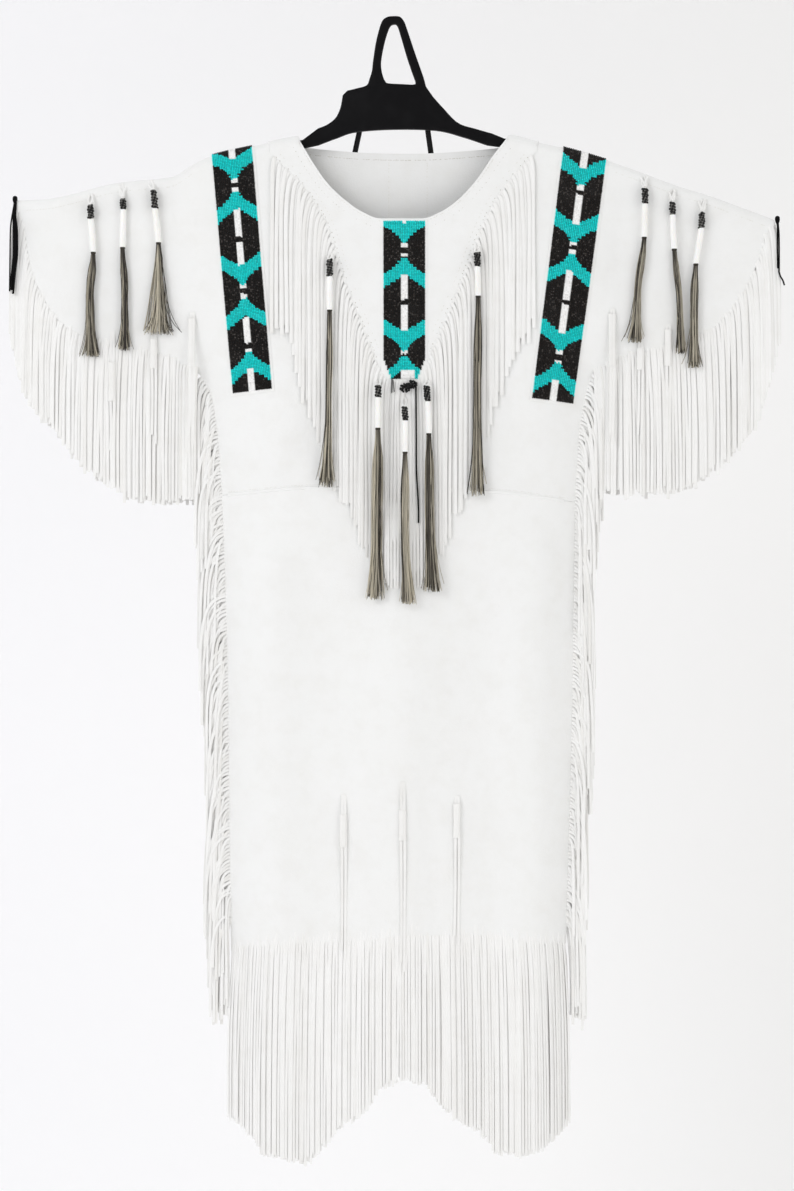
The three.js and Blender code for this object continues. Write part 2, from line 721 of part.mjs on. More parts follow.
function columnsBetween(grid, { from, to }) {
  const kept = (x) => x >= from && x <= to;
  return grid.map((row) => row.map((node, j) => (kept(yokeColumns[j]) ? node : null)));
}

// ------------------------------------------------------------------ bib and bead strips

const bibRows = gridFront.slice(0, FOLD_STEPS + YOKE_DROP_STEPS + 3);
const bibEdge = { r: profile(BIB_EDGE, 'z', 'right'), l: profile(BIB_EDGE, 'z', 'left') };

function bib() {
  const heights = spaced(BIB_OUTLINE_HEIGHTS, BIB_EDGE[0].z, BIB_EDGE.at(-1).z);
  const outline = heights.map((z) => [bibEdge.r(z), z])
    .concat(heights.map((z) => [bibEdge.l(z), z]).reverse());
  return trimmedTo(wallOver(columnsBetween(bibRows, BIB_COLUMNS), BIB_LOW, BIB_HIGH), outline);
}

function centreStrip() {
  const { right, left, top, bevel, foot, footRight, footLeft, columns } = CENTRE_STRIP;
  const outline = [
    [right, top], [right, bevel], [footRight, foot], [footLeft, foot], [left, bevel], [left, top],
  ];
  const cloth = columnsBetween(bibRows, columns);
  return trimmedTo(wallOver(cloth, CENTRE_STRIP_LOW, CENTRE_STRIP_LOW + BEADWORK), outline);
}

// A shoulder strip lies on the front, turns over the fold and ends a little way down the back.
function shoulderStrip({ outer, inner, columns }) {
  const front = columnsBetween(bibRows, columns);
  const back = columnsBetween(gridBack, columns);
  const crest = front[0].map((node) => node && { point: node.point.clone().setY(0), normal: node.normal });
  const behind = back.slice(1, FOLD_STEPS + 1).reverse();
  const rolled = back[FOLD_STEPS];
  const below = back[FOLD_STEPS + 1];
  const end = rolled.map((node, j) => {
    if (!node) return null;
    const share = (WRAP_BEHIND - FOLD_RADIUS) / (node.point.z - below[j].point.z);
    return {
      point: node.point.clone().lerp(below[j].point, share),
      normal: node.normal.clone().lerp(below[j].normal, share).normalize(),
    };
  });
  const wall = wallOver([end, ...behind, crest, ...front.slice(1)], BIB_LOW, BIB_LOW + BEADWORK);
  const foot = ({ lowX, lowZ }) => [lowX, lowZ];
  const head = ({ lowX, lowZ, topX, topZ }) =>
    [lerp(lowX, topX, STRIP_OVERRUN), lerp(lowZ, topZ, STRIP_OVERRUN)];
  return trimmedTo(wall, [foot(outer), foot(inner), head(inner), head(outer)]);
}

// ------------------------------------------------------------------ fringes

// A band along an edge that runs towards +X with the cloth on its left, as pairs of points.
function bandAlong(edge, levelAt) {
  let run = 0;
  return edge.map((point, i) => {
    const before = edge[Math.max(0, i - 1)];
    const after = edge[Math.min(edge.length - 1, i + 1)];
    const way = new THREE.Vector2(after.x - before.x, after.z - before.z).normalize();
    const y = levelAt(point.x, point.z);
    const at = (reach) => new THREE.Vector3(point.x + way.y * reach, y, point.z - way.x * reach);
    run += Math.hypot(point.x - before.x, point.z - before.z);
    return { top: at(BAND_GAP), low: at(BAND_GAP + BAND), run };
  });
}

// The place on a band where a rising measure of it, its running length or an X, has a value.
function bandAt(band, measure, value) {
  let i = 0;
  while (i < band.length - 2 && value > measure(band[i + 1])) i += 1;
  const share = clamp01((value - measure(band[i])) / (measure(band[i + 1]) - measure(band[i])));
  return {
    top: band[i].top.clone().lerp(band[i + 1].top, share),
    low: band[i].low.clone().lerp(band[i + 1].low, share),
    run: lerp(band[i].run, band[i + 1].run, share),
  };
}

const byRun = (place) => place.run;
const byX = (place) => place.low.x;
const rootsAround = (band, run, width) =>
  [-0.5, 0.5].map((way) => bandAt(band, byRun, run + way * width));

// One solid: a band with strands growing from its lower edge. Each strand gives the two places
// on the band where it starts and the cross-sections that it passes through, { x, y, z, width }.
function comb(band, strands) {
  const points = [];
  const triangles = [];
  const half = STRAND / 2;
  const quad = (a, b, c, d) => triangles.push(a, b, c, a, c, d);
  const pair = (point) => {
    points.push(point.clone().setY(point.y - half), point.clone().setY(point.y + half));
    return { front: points.length - 2, back: points.length - 1 };
  };
  const post = (place) => ({ top: pair(place.top), low: pair(place.low) });
  const between = (a, b) => {
    quad(a.top.front, a.low.front, b.low.front, b.top.front);
    quad(b.top.back, b.low.back, a.low.back, a.top.back);
    quad(b.top.front, b.top.back, a.top.back, a.top.front);
  };
  const closeFoot = (a, b) => quad(a.front, a.back, b.back, b.front);

  const plainBand = (from, fromPost, to) => {
    const runs = Math.max(1, Math.ceil((to.run - from.run) / BAND_STEP));
    let last = fromPost;
    for (let k = 1; k <= runs; k += 1) {
      const next = post(k < runs ? bandAt(band, byRun, lerp(from.run, to.run, k / runs)) : to);
      between(last, next);
      closeFoot(last.low, next.low);
      last = next;
    }
    return last;
  };

  let place = band[0];
  let previous = post(place);
  quad(previous.top.front, previous.top.back, previous.low.back, previous.low.front);
  for (const strand of strands) {
    const left = plainBand(place, previous, strand.left);
    const right = post(strand.right);
    between(left, right);
    let [a, b] = [left.low, right.low];
    for (const { x, y, z, width } of strand.stations) {
      const c = pair(new THREE.Vector3(x - width / 2, y, z));
      const d = pair(new THREE.Vector3(x + width / 2, y, z));
      quad(a.front, c.front, d.front, b.front);
      quad(b.back, d.back, c.back, a.back);
      quad(a.back, c.back, c.front, a.front);
      quad(b.front, d.front, d.back, b.back);
      [a, b] = [c, d];
    }
    closeFoot(a, b);
    [place, previous] = [strand.right, right];
  }
  const final = plainBand(place, previous, band.at(-1));
  quad(final.low.front, final.low.back, final.top.back, final.top.front);
  return facingOut(points, triangles);
}

// A hanging fringe whose strands are even in X between the ends of its band.
function hangingFringe({ band, count, width, tipAt, footAt, levels }) {
  const [from, to] = [band[0].low.x, band.at(-1).low.x];
  const strands = evenly(count, (k, share) => {
    const x = lerp(from + width, to - width, share);
    const [left, right] = rootsAround(band, bandAt(band, byX, x).run, width);
    const rootZ = Math.min(left.low.z, right.low.z);
    const tipX = tipAt(x, share);
    const tipZ = footAt(tipX) + UNEVEN_ENDS * Math.sin(STRAY.ends * k);
    return { left, right, stations: levels({ x, rootZ, tipX, tipZ, rootY: left.low.y, width, k }) };
  });
  return comb(band, strands);
}

function sleeveFringe(tag, face) {
  const out = OUTWARD[face];
  const { count, width } = SLEEVE_STRANDS[face];
  const { fromX, toX, outer, driftAtStart, driftAtEnd } = SLEEVE_FRINGES[tag];
  const edge = spaced(EDGE_SAMPLES, fromX, toX).map((x) => ({ x, z: builtFoot(x) }));
  const level = (x, z) => out * (HALF_GAP + depth(face, x, z) + LEATHER / 2);
  return hangingFringe({
    band: bandAlong(edge, level),
    count,
    width,
    tipAt: (x, share) => x + outer * lerp(driftAtStart, driftAtEnd, share),
    footAt: profile(tag === 'r' ? SLEEVE_FRINGE_ENDS_R : SLEEVE_FRINGE_ENDS_L, 'x', 'z'),
    levels: ({ x, rootZ, tipX, tipZ, rootY, k }) => {
      const hangY = out * (Math.max(Math.abs(rootY), SLEEVE_HANG) + 0.8 * Math.sin(STRAY.sleeve * k));
      return [
        { x: lerp(x, tipX, 0.12), y: lerp(rootY, hangY, 0.8), z: rootZ - 14, width },
        { x: tipX, y: hangY, z: tipZ, width: width - 1.4 },
      ];
    },
  });
}

function bibFringe(tag) {
  const { count, width, lowZ, topZ } = BIB_STRANDS;
  const downwards = spaced(EDGE_SAMPLES, topZ[tag], lowZ).map((z) => ({ x: bibEdge[tag](z), z }));
  const edge = tag === 'r' ? downwards : downwards.reverse();
  const level = (x, z) => -(HALF_GAP + depth('front', x, z) + FRINGE_HEIGHT);
  return hangingFringe({
    band: bandAlong(edge, level),
    count,
    width,
    tipAt: (x) => x,
    footAt: profile(tag === 'r' ? BIB_FRINGE_ENDS_R : BIB_FRINGE_ENDS_L, 'x', 'z'),
    levels: ({ x, rootZ, tipX, tipZ, rootY }) => {
      const middle = lerp(rootZ, tipZ, 0.45);
      const clear = (from, to) => standsForward('front', x, from, tipX, to) + FRINGE_HEIGHT - LEATHER;
      const near = Math.max(-rootY, clear(rootZ, middle));
      const far = clear(rootZ, tipZ);
      return [
        { x, y: -near, z: rootZ - 8, width },
        { x, y: -Math.max(near, far), z: middle, width },
        { x: tipX, y: -far, z: tipZ, width: width - 1.2 },
      ];
    },
  });
}

function hemFringe(face) {
  const out = OUTWARD[face];
  const { count, width, shorter } = HEM_STRANDS[face];
  const edge = spaced(EDGE_SAMPLES, seamR(HEM_Z) + 2, seamL(HEM_Z) - 2).map((x) => ({ x, z: hemLine(x) }));
  const footAt = profile(HEM_FRINGE_ENDS, 'x', 'z');
  const level = (x, z) => out * (HALF_GAP + depth(face, x, z) + LEATHER / 2);
  return hangingFringe({
    band: bandAlong(edge, level),
    count,
    width,
    tipAt: (x) => x * 1.04,
    footAt: (x) => footAt(x) + shorter,
    levels: ({ x, rootZ, tipX, tipZ, rootY, k }) => {
      const hangY = out * (Math.max(Math.abs(rootY), HEM_HANG) + Math.sin(STRAY.hem * k));
      return [
        { x: lerp(x, tipX, 0.1), y: lerp(rootY, hangY, 0.7), z: rootZ - 12, width },
        { x: tipX, y: hangY, z: tipZ, width: width - 1 },
      ];
    },
  });
}

// Side fringe: strands leave the seam one below another and fan outwards as they fall.
function sideFringe(tag) {
  const { length, strands: count, width, fan, firstZ, lastZ } = SIDE_FRINGE;
  const outer = tag === 'r' ? -1 : 1;
  const seamX = tag === 'r' ? seamR : seamL;
  const [startZ, endZ] = tag === 'r' ? [firstZ, lastZ] : [lastZ, firstZ];
  const edge = spaced(EDGE_SAMPLES, startZ - outer * 12, endZ + outer * 12);
  const band = bandAlong(edge.map((z) => ({ x: seamX(z) + outer, z })), () => 0);
  const byHeight = (place) => outer * place.low.z;
  const strands = evenly(count, (k, share) => {
    const z = lerp(startZ, endZ, share);
    const [left, right] = rootsAround(band, bandAt(band, byHeight, outer * z).run, width);
    const rootX = (left.low.x + right.low.x) / 2;
    const swing = 3 * Math.sin(STRAY.side * k);
    const foot = z - length - UNEVEN_ENDS * Math.sin(STRAY.sideEnds * k);
    const reach = (part) => rootX + outer * (3 + fan[tag] * part);
    return {
      left,
      right,
      stations: [
        { x: reach(0.12), y: swing * 0.3, z: z - 9, width },
        { x: reach(1), y: swing * 1.4, z: foot, width: width - 1 },
      ],
    };
  });
  return comb(band, strands);
}

// ------------------------------------------------------------------ tassels, ties and thongs

const ring = (x, y, z, radius) => ({ x, y, z, rx: radius, ry: radius });

function hairTassel(row) {
  const onPoint = row.name.startsWith('point') || row.name.startsWith('bib');
  const cover = onPoint ? FRINGE_HEIGHT - LEATHER + STRAND + 0.6 : LYING;
  const cloth = HALF_GAP + depth('front', row.topX, row.topZ) + LEATHER;
  const start = -(cloth + cover + TASSEL.thong + 1.2);
  const far = standsForward('front', row.x, row.topZ, row.tipX, row.tipZ);
  const y = -(far + cover + TASSEL.wrap + 0.6);
  const middle = (z) => lerp(row.x, row.tipX, (row.wrap - z) / (row.wrap - row.tipZ));
  const head = loft([
    ring(row.topX, start, row.topZ, TASSEL.thong),
    ring(row.x, y, row.wrap + 1, TASSEL.thong),
    ring(row.x, y, row.wrap - 1.5, TASSEL.wrap),
    ring(middle(row.tube), y, row.tube + 1, TASSEL.wrap),
    ring(middle(row.tube), y, row.tube - 0.5, TASSEL.tube),
    ring(middle(row.hair), y, row.hair, TASSEL.tube),
  ], TASSEL.sides);
  const locks = evenly(TASSEL.locks, (k, share) => {
    const sway = (share - 0.5) * row.spread;
    const half = Math.max(TASSEL.lock, row.spread / TASSEL.locks / 2 - 0.8);
    const bendZ = lerp(row.hair, row.tipZ, 0.4);
    return loft([
      { x: middle(row.hair) + sway * 0.1, y, z: row.hair + 4, rx: 1.9, ry: 1.9 },
      { x: middle(bendZ) + sway * 0.62, y, z: bendZ, rx: half * 0.85, ry: 3 },
      { x: row.tipX + sway * 1.15, y, z: row.tipZ + 5 * Math.abs(sway / row.spread), rx: half, ry: 2.6 },
    ], 4);
  });
  return joined([head, ...locks]);
}

function thongTie(row) {
  const onSleeve = row.name.includes('sleeve');
  const cloth = HALF_GAP + depth('front', row.x, row.topZ) + LEATHER;
  const foremost = standsForward('front', row.x, row.topZ, row.tipX, row.tipZ);
  const hang = Math.max(foremost, onSleeve ? SLEEVE_HANG + STRAND + LEATHER : 0);
  const y = -(hang + TIE.tube + 1);
  const head = loft([
    ring(row.x, -(cloth + TIE.thong + LYING), row.topZ, TIE.thong),
    ring(row.x, y, row.tube + 1, TIE.thong + 0.6),
    ring(row.x, y, row.tube - 1, TIE.tube),
    ring(row.x, y, row.strings, TIE.tube),
  ], TIE.sides);
  const strings = [-1, 1].map((way) => loft([
    { x: row.x + way * 1.8, y, z: row.strings + 3, rx: TIE.string, ry: TIE.string },
    { x: row.tipX + way * 2.6, y, z: lerp(row.strings, row.tipZ, 0.5), rx: TIE.string, ry: TIE.string },
    { x: row.tipX + way * 2.2, y, z: row.tipZ - way * 6, rx: TIE.string, ry: TIE.string },
  ], 4));
  return joined([head, ...strings]);
}

function cuffThong({ x, topZ, tipX, tipZ, towards }) {
  const knot = loft([ring(x, 0, topZ, 1.6), ring(x, 0, topZ - 6, 2.4), ring(x, 0, topZ - 20, 2.2)], 6);
  const strings = [-1, 1].map((way) => loft([
    ring(x, way * 1, topZ - 17, 1.2),
    ring(lerp(x, tipX, 0.5) + towards, way * 2.4, lerp(topZ, tipZ, 0.5), 1.2),
    ring(tipX, way * 2.8, tipZ + (way > 0 ? 14 : 0), 1.1),
  ], 4));
  return joined([knot, ...strings]);
}

function beadDrop() {
  const { x, topZ, footZ, radius, cordX, cordTipX, cordTipZ, cord } = BEAD_DROP;
  const y = -(HALF_GAP + depth('front', x, topZ) + CENTRE_STRIP_LOW + BEADWORK + 5.4);
  const cluster = loft([
    { x, y, z: topZ, rx: radius, ry: 2.6 },
    { x, y, z: topZ - 5, rx: radius + 3, ry: 4 },
    { x: x - 2, y, z: footZ, rx: radius - 1, ry: 3 },
  ], 8);
  const hanging = loft([
    ring(cordX, y, topZ - 7, cord),
    ring(cordX + 1, y - 0.4, lerp(topZ, cordTipZ, 0.5), cord),
    ring(cordTipX, y, cordTipZ, cord),
  ], 4);
  return joined([cluster, hanging]);
}

// ------------------------------------------------------------------ hanger

const armEdge = (from, to, count, drop) =>
  spaced(count, from, to).map((x) => [x, shoulderLine(x) - ARM_DROP - drop]);

function hangerPlate() {
  const { loopRight, loopLeft, plateLeft, plateFoot, plateRight, eye } = HANGER_CURVES;
  const { topR, topL, footR, footL } = ARM_ROOTS;
  const straight = (points) => points.map(([x, z]) => new THREE.Vector2(x, z));
  const round = (points, pieces) => new THREE.SplineCurve(straight(points)).getPoints(pieces);
  const armTip = (x) => [x, shoulderLine(x) - ARM_DROP - ARM_HEIGHT * 0.45];
  const outline = [
    ...round([...loopRight, ...loopLeft], 18),
    ...round(plateLeft, 5),
    ...straight(armEdge(topL, ARM_END_L - 6, 6, 0)),
    ...straight([armTip(ARM_END_L)]),
    ...straight(armEdge(ARM_END_L - 8, footL, 5, ARM_HEIGHT)),
    ...round(plateFoot, 10),
    ...straight(armEdge(footR, ARM_END_R + 8, 5, ARM_HEIGHT)),
    ...straight([armTip(ARM_END_R)]),
    ...straight(armEdge(ARM_END_R + 6, topR, 6, 0)),
    ...round(plateRight, 6),
  ];
  const shape = new THREE.Shape(outline.reverse());
  shape.holes.push(new THREE.Path(round([...eye, eye[0]], 15).slice(0, -1)));
  const plate = new THREE.ExtrudeGeometry(shape, {
    depth: HANGER_THICKNESS - 2 * HANGER_BEVEL,
    bevelThickness: HANGER_BEVEL,
    bevelSize: HANGER_BEVEL,
    bevelOffset: -HANGER_BEVEL,
    bevelSegments: 1,
  });
  plate.rotateX(Math.PI / 2);
  plate.translate(0, HANGER_THICKNESS / 2 - HANGER_BEVEL, 0);
  return merged(plate);
}

// The skirt bar behind the dress: two struts from the plate's back face and a bar between them.
function hangerBar() {
  const { halfSpan, middle, topZ, neckZ, barZ, neckY, barY, radius } = STRUT;
  const backFace = HANGER_THICKNESS / 2 + 2 * SEAM_GAP;
  const route = (side) => [
    new THREE.Vector3(middle + side * (halfSpan - 8), backFace, topZ + 12),
    new THREE.Vector3(middle + side * (halfSpan - 8), backFace + 6, topZ + 11),
    new THREE.Vector3(middle + side * (halfSpan - 3), neckY, neckZ),
    new THREE.Vector3(middle + side * halfSpan, barY, barZ + 10),
    new THREE.Vector3(middle + side * (halfSpan - 8), barY, barZ),
  ];
  const path = new THREE.CatmullRomCurve3([...route(-1), ...route(1).reverse()], false, 'centripetal');
  const ellipse = new THREE.EllipseCurve(0, 0, radius, radius * 0.75).getPoints(6);
  const section = new THREE.Shape(ellipse.slice(0, -1));
  return merged(new THREE.ExtrudeGeometry(section, { steps: 18, extrudePath: path, bevelEnabled: false }));
}

// ------------------------------------------------------------------ the dress

const dress = new THREE.Group();
const add = (name, geometry, material) => {
  const mesh = new THREE.Mesh(geometry, FINISHES[material]());
  mesh.name = name;
  dress.add(mesh);
};

add('hanger', hangerPlate(), 'hanger');
add('hanger_bar', hangerBar(), 'hanger');
add('yoke_front', wallOver(gridFront, 0, LEATHER), 'buckskin');
add('yoke_back', wallOver(gridBack, 0, LEATHER), 'buckskin');
add('skirt_front', wallOver(skirtGrid('front'), 0, LEATHER), 'buckskin');
add('skirt_back', wallOver(skirtGrid('back'), 0, LEATHER), 'buckskin');
add('bib', bib(), 'buckskin');
add('bead_strip_centre', centreStrip(), 'beadwork');
SHOULDER_STRIPS.forEach((strip) => add(`bead_strip_${strip.tag}`, shoulderStrip(strip), 'beadwork'));
for (const tag of ['r', 'l']) {
  add(`fringe_sleeve_${tag}_front`, sleeveFringe(tag, 'front'), 'buckskin');
  add(`fringe_sleeve_${tag}_back`, sleeveFringe(tag, 'back'), 'buckskin');
  add(`fringe_bib_${tag}`, bibFringe(tag), 'buckskin');
  add(`fringe_side_${tag}`, sideFringe(tag), 'buckskin');
}
add('fringe_hem_front', hemFringe('front'), 'buckskin');
add('fringe_hem_back', hemFringe('back'), 'buckskin');
TASSELS.forEach((row) => add(`tassel_${row.name}`, hairTassel(row), 'tassel'));
TIES.forEach((row) => add(row.name, thongTie(row), 'buckskin'));
CUFF_THONGS.forEach((row) => add(row.name, cuffThong(row), 'blackThong'));
add('bead_drop', beadDrop(), 'blackThong');

export default dress;
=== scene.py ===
"""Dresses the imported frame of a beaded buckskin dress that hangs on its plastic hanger.

Sizes are millimetres in the tables and in every calculation, and become metres where a mesh is
made. +Z is up, the dress faces -Y, and _r and _l mark the wearer's right (-X) and left (+X).
"""
from __future__ import annotations

import logging
import math
from dataclasses import dataclass, field
from enum import Enum
from typing import Any, Callable, Iterable, Sequence

import bmesh
import bpy
import numpy as np
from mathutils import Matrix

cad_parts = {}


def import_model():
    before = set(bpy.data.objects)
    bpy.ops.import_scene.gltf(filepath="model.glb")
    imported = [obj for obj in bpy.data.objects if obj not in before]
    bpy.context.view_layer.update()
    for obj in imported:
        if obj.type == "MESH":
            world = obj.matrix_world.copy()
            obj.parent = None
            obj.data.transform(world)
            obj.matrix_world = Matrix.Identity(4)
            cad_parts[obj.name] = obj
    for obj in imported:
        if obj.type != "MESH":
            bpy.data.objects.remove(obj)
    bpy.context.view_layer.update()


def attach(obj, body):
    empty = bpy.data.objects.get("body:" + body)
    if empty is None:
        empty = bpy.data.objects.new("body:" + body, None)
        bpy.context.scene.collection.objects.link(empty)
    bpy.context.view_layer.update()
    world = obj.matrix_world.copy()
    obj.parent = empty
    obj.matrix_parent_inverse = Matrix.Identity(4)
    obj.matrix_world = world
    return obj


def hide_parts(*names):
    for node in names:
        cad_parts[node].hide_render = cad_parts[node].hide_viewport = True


LOG = logging.getLogger("dress")
MM = 0.001
Array = np.ndarray
Solid = tuple[Array, list[list[int]]]
Node, Socket = bpy.types.Node, bpy.types.NodeSocket
Mesh, Part = bpy.types.Mesh, bpy.types.Object

# ---------------------------------------------------------------- the garment's own sizes

SEAM_GAP = 0.02
LEATHER = 1.6
FOLD_RADIUS = 12.0
DEPTH_SETTLES = 200.0
SEAM_REACH = 110.0
HEM_FLARE = 4.0
SEAM_ROUNDING = 2.2
FOLDS_BEGIN = 60.0
UNDERARM_Z = -454.0
YOKE_SEAM_Z = -612.0
HEM_Z = -1190.0
BIB_LOW, BIB_HIGH = 1.8, 3.2
SLEEVE_HANG = 8.5
HEM_HANG = 5.0

SHOULDER_LINE = (
    (-493, -230), (-459, -229), (-416, -221), (-387, -213), (-359, -207), (-320, -203), (-290, -200),
    (-259, -182), (-239, -173), (-183, -160), (-126, -148), (10, -140), (148, -146), (182, -154),
    (218, -162), (274, -178), (315, -192), (363, -210), (408, -224), (441, -236), (484, -252), (496, -257),
)
FRONT_NECKLINE = (
    (-126, -148), (-104, -186), (-86, -211), (-65, -231), (-44, -246), (-17, -256), (35, -256),
    (56, -249), (82, -231), (107, -203), (127, -173), (148, -146),
)
BACK_NECKLINE = ((-126, -148), (-119, -157), (10, -165), (141, -157), (148, -146))
SLEEVE_EDGE_R = (
    (-491, -238), (-487, -247), (-481, -268), (-472, -320), (-453, -363), (-436, -388), (-412, -405),
    (-359, -421), (-320, -428), (-288, -438), (-254, UNDERARM_Z),
)
SLEEVE_EDGE_L = (
    (256, UNDERARM_Z), (290, -437), (330, -429), (365, -422), (400, -407), (424, -388), (443, -362),
    (460, -335), (473, -302), (482, -272), (492, -262),
)
SIDE_SEAM_R = (
    (UNDERARM_Z, -254), (-481, -239), (-530, -231), (-618, -225), (-748, -220), (-878, -217),
    (-1073, -215), (-1210, -212),
)
SIDE_SEAM_L = (
    (UNDERARM_Z, 256), (-481, 248), (-530, 240), (-618, 235), (-748, 233), (-878, 231), (-1073, 226),
    (-1210, 221),
)
YOKE_SEAM = ((-226, -612), (-94, -603), (120, -608), (236, -621))
HEM_LINE = (
    (-213, -1204), (-181, -1194), (-38, -1186), (10, -1179), (127, -1180), (178, -1191), (222, -1194),
)
BIB_POINT_Z = -466.0
BIB_MIDDLE_X = 12.0
BIB_EDGE_R = (
    (-130, -176), (-174, -159), (-213, -122), (-265, -90), (-332, -68), (-407, -39), (-458, -17),
    (BIB_POINT_Z, -9),
)
BIB_EDGE_L = (
    (-130, 200), (-174, 178), (-213, 145), (-265, 115), (-332, 90), (-407, 58), (-458, 37), (BIB_POINT_Z, 33),
)
TOP_DEPTH = (
    (-493, 4), (-440, 8), (-310, 10), (-250, 13), (-150, 14), (10, 15), (160, 14), (255, 13), (315, 10),
    (440, 8), (496, 4),
)
LOW_DEPTH = (
    (-493, 5), (-440, 9), (-310, 11), (-250, 20), (-150, 26), (10, 27), (160, 26), (255, 20), (315, 11),
    (440, 9), (496, 5),
)


class Face(Enum):
    """A side of the dress, by the sign of its way out along Y."""

    FRONT = -1
    BACK = 1


@dataclass(frozen=True)
class Fold:
    """A soft ridge (height > 0) or trough along a line, with its half width."""

    face: Face
    start: tuple[float, float]
    end: tuple[float, float]
    width: float
    height: float


def folds(front: Sequence[tuple], back: Sequence[tuple]) -> tuple[Fold, ...]:
    """Make the folds of both faces from rows of start, end, width and height."""
    return tuple(Fold(face, *row) for face, rows in ((Face.FRONT, front), (Face.BACK, back)) for row in rows)


FOLDS = folds(
    front=(
        ((-168, -700), (-174, -1190), 36, 7),
        ((-106, -720), (-110, -1190), 34, -5),
        ((4, -680), (7, -1190), 42, 9.5),
        ((118, -720), (124, -1190), 36, -7.5),
        ((192, -690), (190, -1190), 26, 7.5),
        ((-84, -487), (-130, -585), 24, -4),
        ((128, -480), (160, -580), 24, -3),
        ((-478, -272), (-407, -240), 20, -2),
        ((-330, -230), (-300, -400), 26, 3),
        ((350, -240), (318, -400), 26, 3),
    ),
    back=(
        ((-120, -460), (-130, -1190), 38, 6),
        ((-30, -520), (-26, -1190), 40, -5),
        ((66, -480), (74, -1190), 40, 7),
        ((168, -640), (172, -1190), 30, 4),
    ),
)
# Creases of the hide, finer than the folds above.
CREASES = folds(
    front=(
        ((-462, -262), (-396, -236), 9, -1.0),
        ((-440, -300), (-372, -258), 13, 0.9),
        ((-300, -214), (-270, -300), 12, -1.1),
        ((-292, -300), (-262, -420), 12, 0.9),
        ((292, -200), (286, -330), 14, -1.0),
        ((300, -330), (270, -430), 12, 0.9),
        ((430, -250), (400, -340), 13, -0.9),
        ((-30, -262), (-46, -420), 12, -0.8),
        ((62, -262), (76, -380), 12, 0.9),
        ((-200, -500), (-130, -560), 14, 1.2),
        ((-216, -470), (-150, -530), 12, -1.0),
        ((222, -480), (170, -540), 14, 1.2),
        ((226, -520), (186, -590), 12, -1.0),
        ((-60, -640), (-70, -900), 22, -1.4),
        ((60, -630), (70, -860), 22, -1.2),
        ((-190, -640), (-206, -820), 14, 1.0),
        ((150, -640), (160, -980), 15, 1.2),
        ((-40, -960), (-36, -1180), 16, 1.2),
        ((44, -980), (52, -1180), 15, -1.3),
    ),
    back=(
        ((-470, -262), (-380, -240), 10, -1.0),
        ((-300, -230), (-262, -430), 14, 1.2),
        ((300, -230), (268, -430), 14, 1.2),
        ((0, -180), (6, -420), 20, -1.0),
        ((-200, -480), (-110, -560), 15, 1.2),
        ((215, -490), (120, -570), 15, -1.2),
        ((-170, -640), (-180, -1100), 18, -1.4),
        ((20, -650), (26, -1180), 18, 1.4),
        ((120, -640), (124, -1180), 16, -1.3),
    ),
)


# ---------------------------------------------------------------- small mathematics

def clamp01(value: Array | float) -> Array:
    """Keep a value between 0 and 1."""
    return np.clip(value, 0.0, 1.0)


def ease(value: Array | float) -> Array:
    """Go from 0 to 1 with level ends."""
    share = clamp01(value)
    return share * share * (3.0 - 2.0 * share)


def mix(start: Any, end: Any, share: Any) -> Any:
    """Blend from start to end by a share."""
    return start + (end - start) * share


def unit(vectors: Array) -> Array:
    """Scale vectors along the last axis to length 1."""
    return vectors / np.maximum(np.linalg.norm(vectors, axis=-1, keepdims=True), 1e-9)


def column(*parts: Any) -> Array:
    """Stack X, Y and Z into points along the last axis."""
    return np.stack(np.broadcast_arrays(*parts), axis=-1).astype(float)


class Profile:
    """A smooth curve through knots that never overshoots them and stays level outside."""

    def __init__(self, knots: Sequence[tuple[float, float]]) -> None:
        """Work out the slope at each knot.

        Args:
            knots: Pairs of where and how much.
        """
        rows = np.array(sorted(knots), dtype=float)
        self.at, self.value = rows[:, 0], rows[:, 1]
        grade = np.diff(self.value) / np.diff(self.at)
        before, after = grade[:-1], grade[1:]
        same = before * after > 0
        inner = np.where(same, 2 * before * after / np.where(same, before + after, 1.0), 0.0)
        self.slope = np.concatenate([grade[:1], inner, grade[-1:]])

    def __call__(self, where: Array | float) -> Array:
        """Give the curve's value at one or many places."""
        x = np.clip(np.asarray(where, dtype=float), self.at[0], self.at[-1])
        i = np.clip(np.searchsorted(self.at, x, side="left") - 1, 0, len(self.at) - 2)
        span = self.at[i + 1] - self.at[i]
        t = (x - self.at[i]) / span
        leave = t * (1 - t) ** 2 * span * self.slope[i]
        arrive = t * t * (t - 1) * span * self.slope[i + 1]
        return mix(self.value[i], self.value[i + 1], t * t * (3 - 2 * t)) + leave + arrive


def distance_to_line(x: Array, z: Array, start: tuple[float, float], end: tuple[float, float]) -> Array:
    """Give how far places are from a line.

    Args:
        x: X of the places.
        z: Z of the places.
        start: X and Z of the line's start.
        end: X and Z of the line's end.

    Returns:
        The distances.
    """
    (ax, az), (bx, bz) = start, end
    share = clamp01(((x - ax) * (bx - ax) + (z - az) * (bz - az)) / ((bx - ax) ** 2 + (bz - az) ** 2))
    return np.hypot(x - mix(ax, bx, share), z - mix(az, bz, share))


def travelled(points: Array) -> Array:
    """Give the length along a line, or along each column of lines, at each of its points."""
    steps = np.linalg.norm(np.diff(points, axis=0), axis=-1)
    return np.concatenate([np.zeros((1, *steps.shape[1:])), np.cumsum(steps, axis=0)])


def resample(values: Array, run: Array, steps: Array) -> Array:
    """Give values of a line, kept at the lengths in run, at other lengths."""
    return np.stack([np.interp(steps, run, part) for part in values.T], -1)


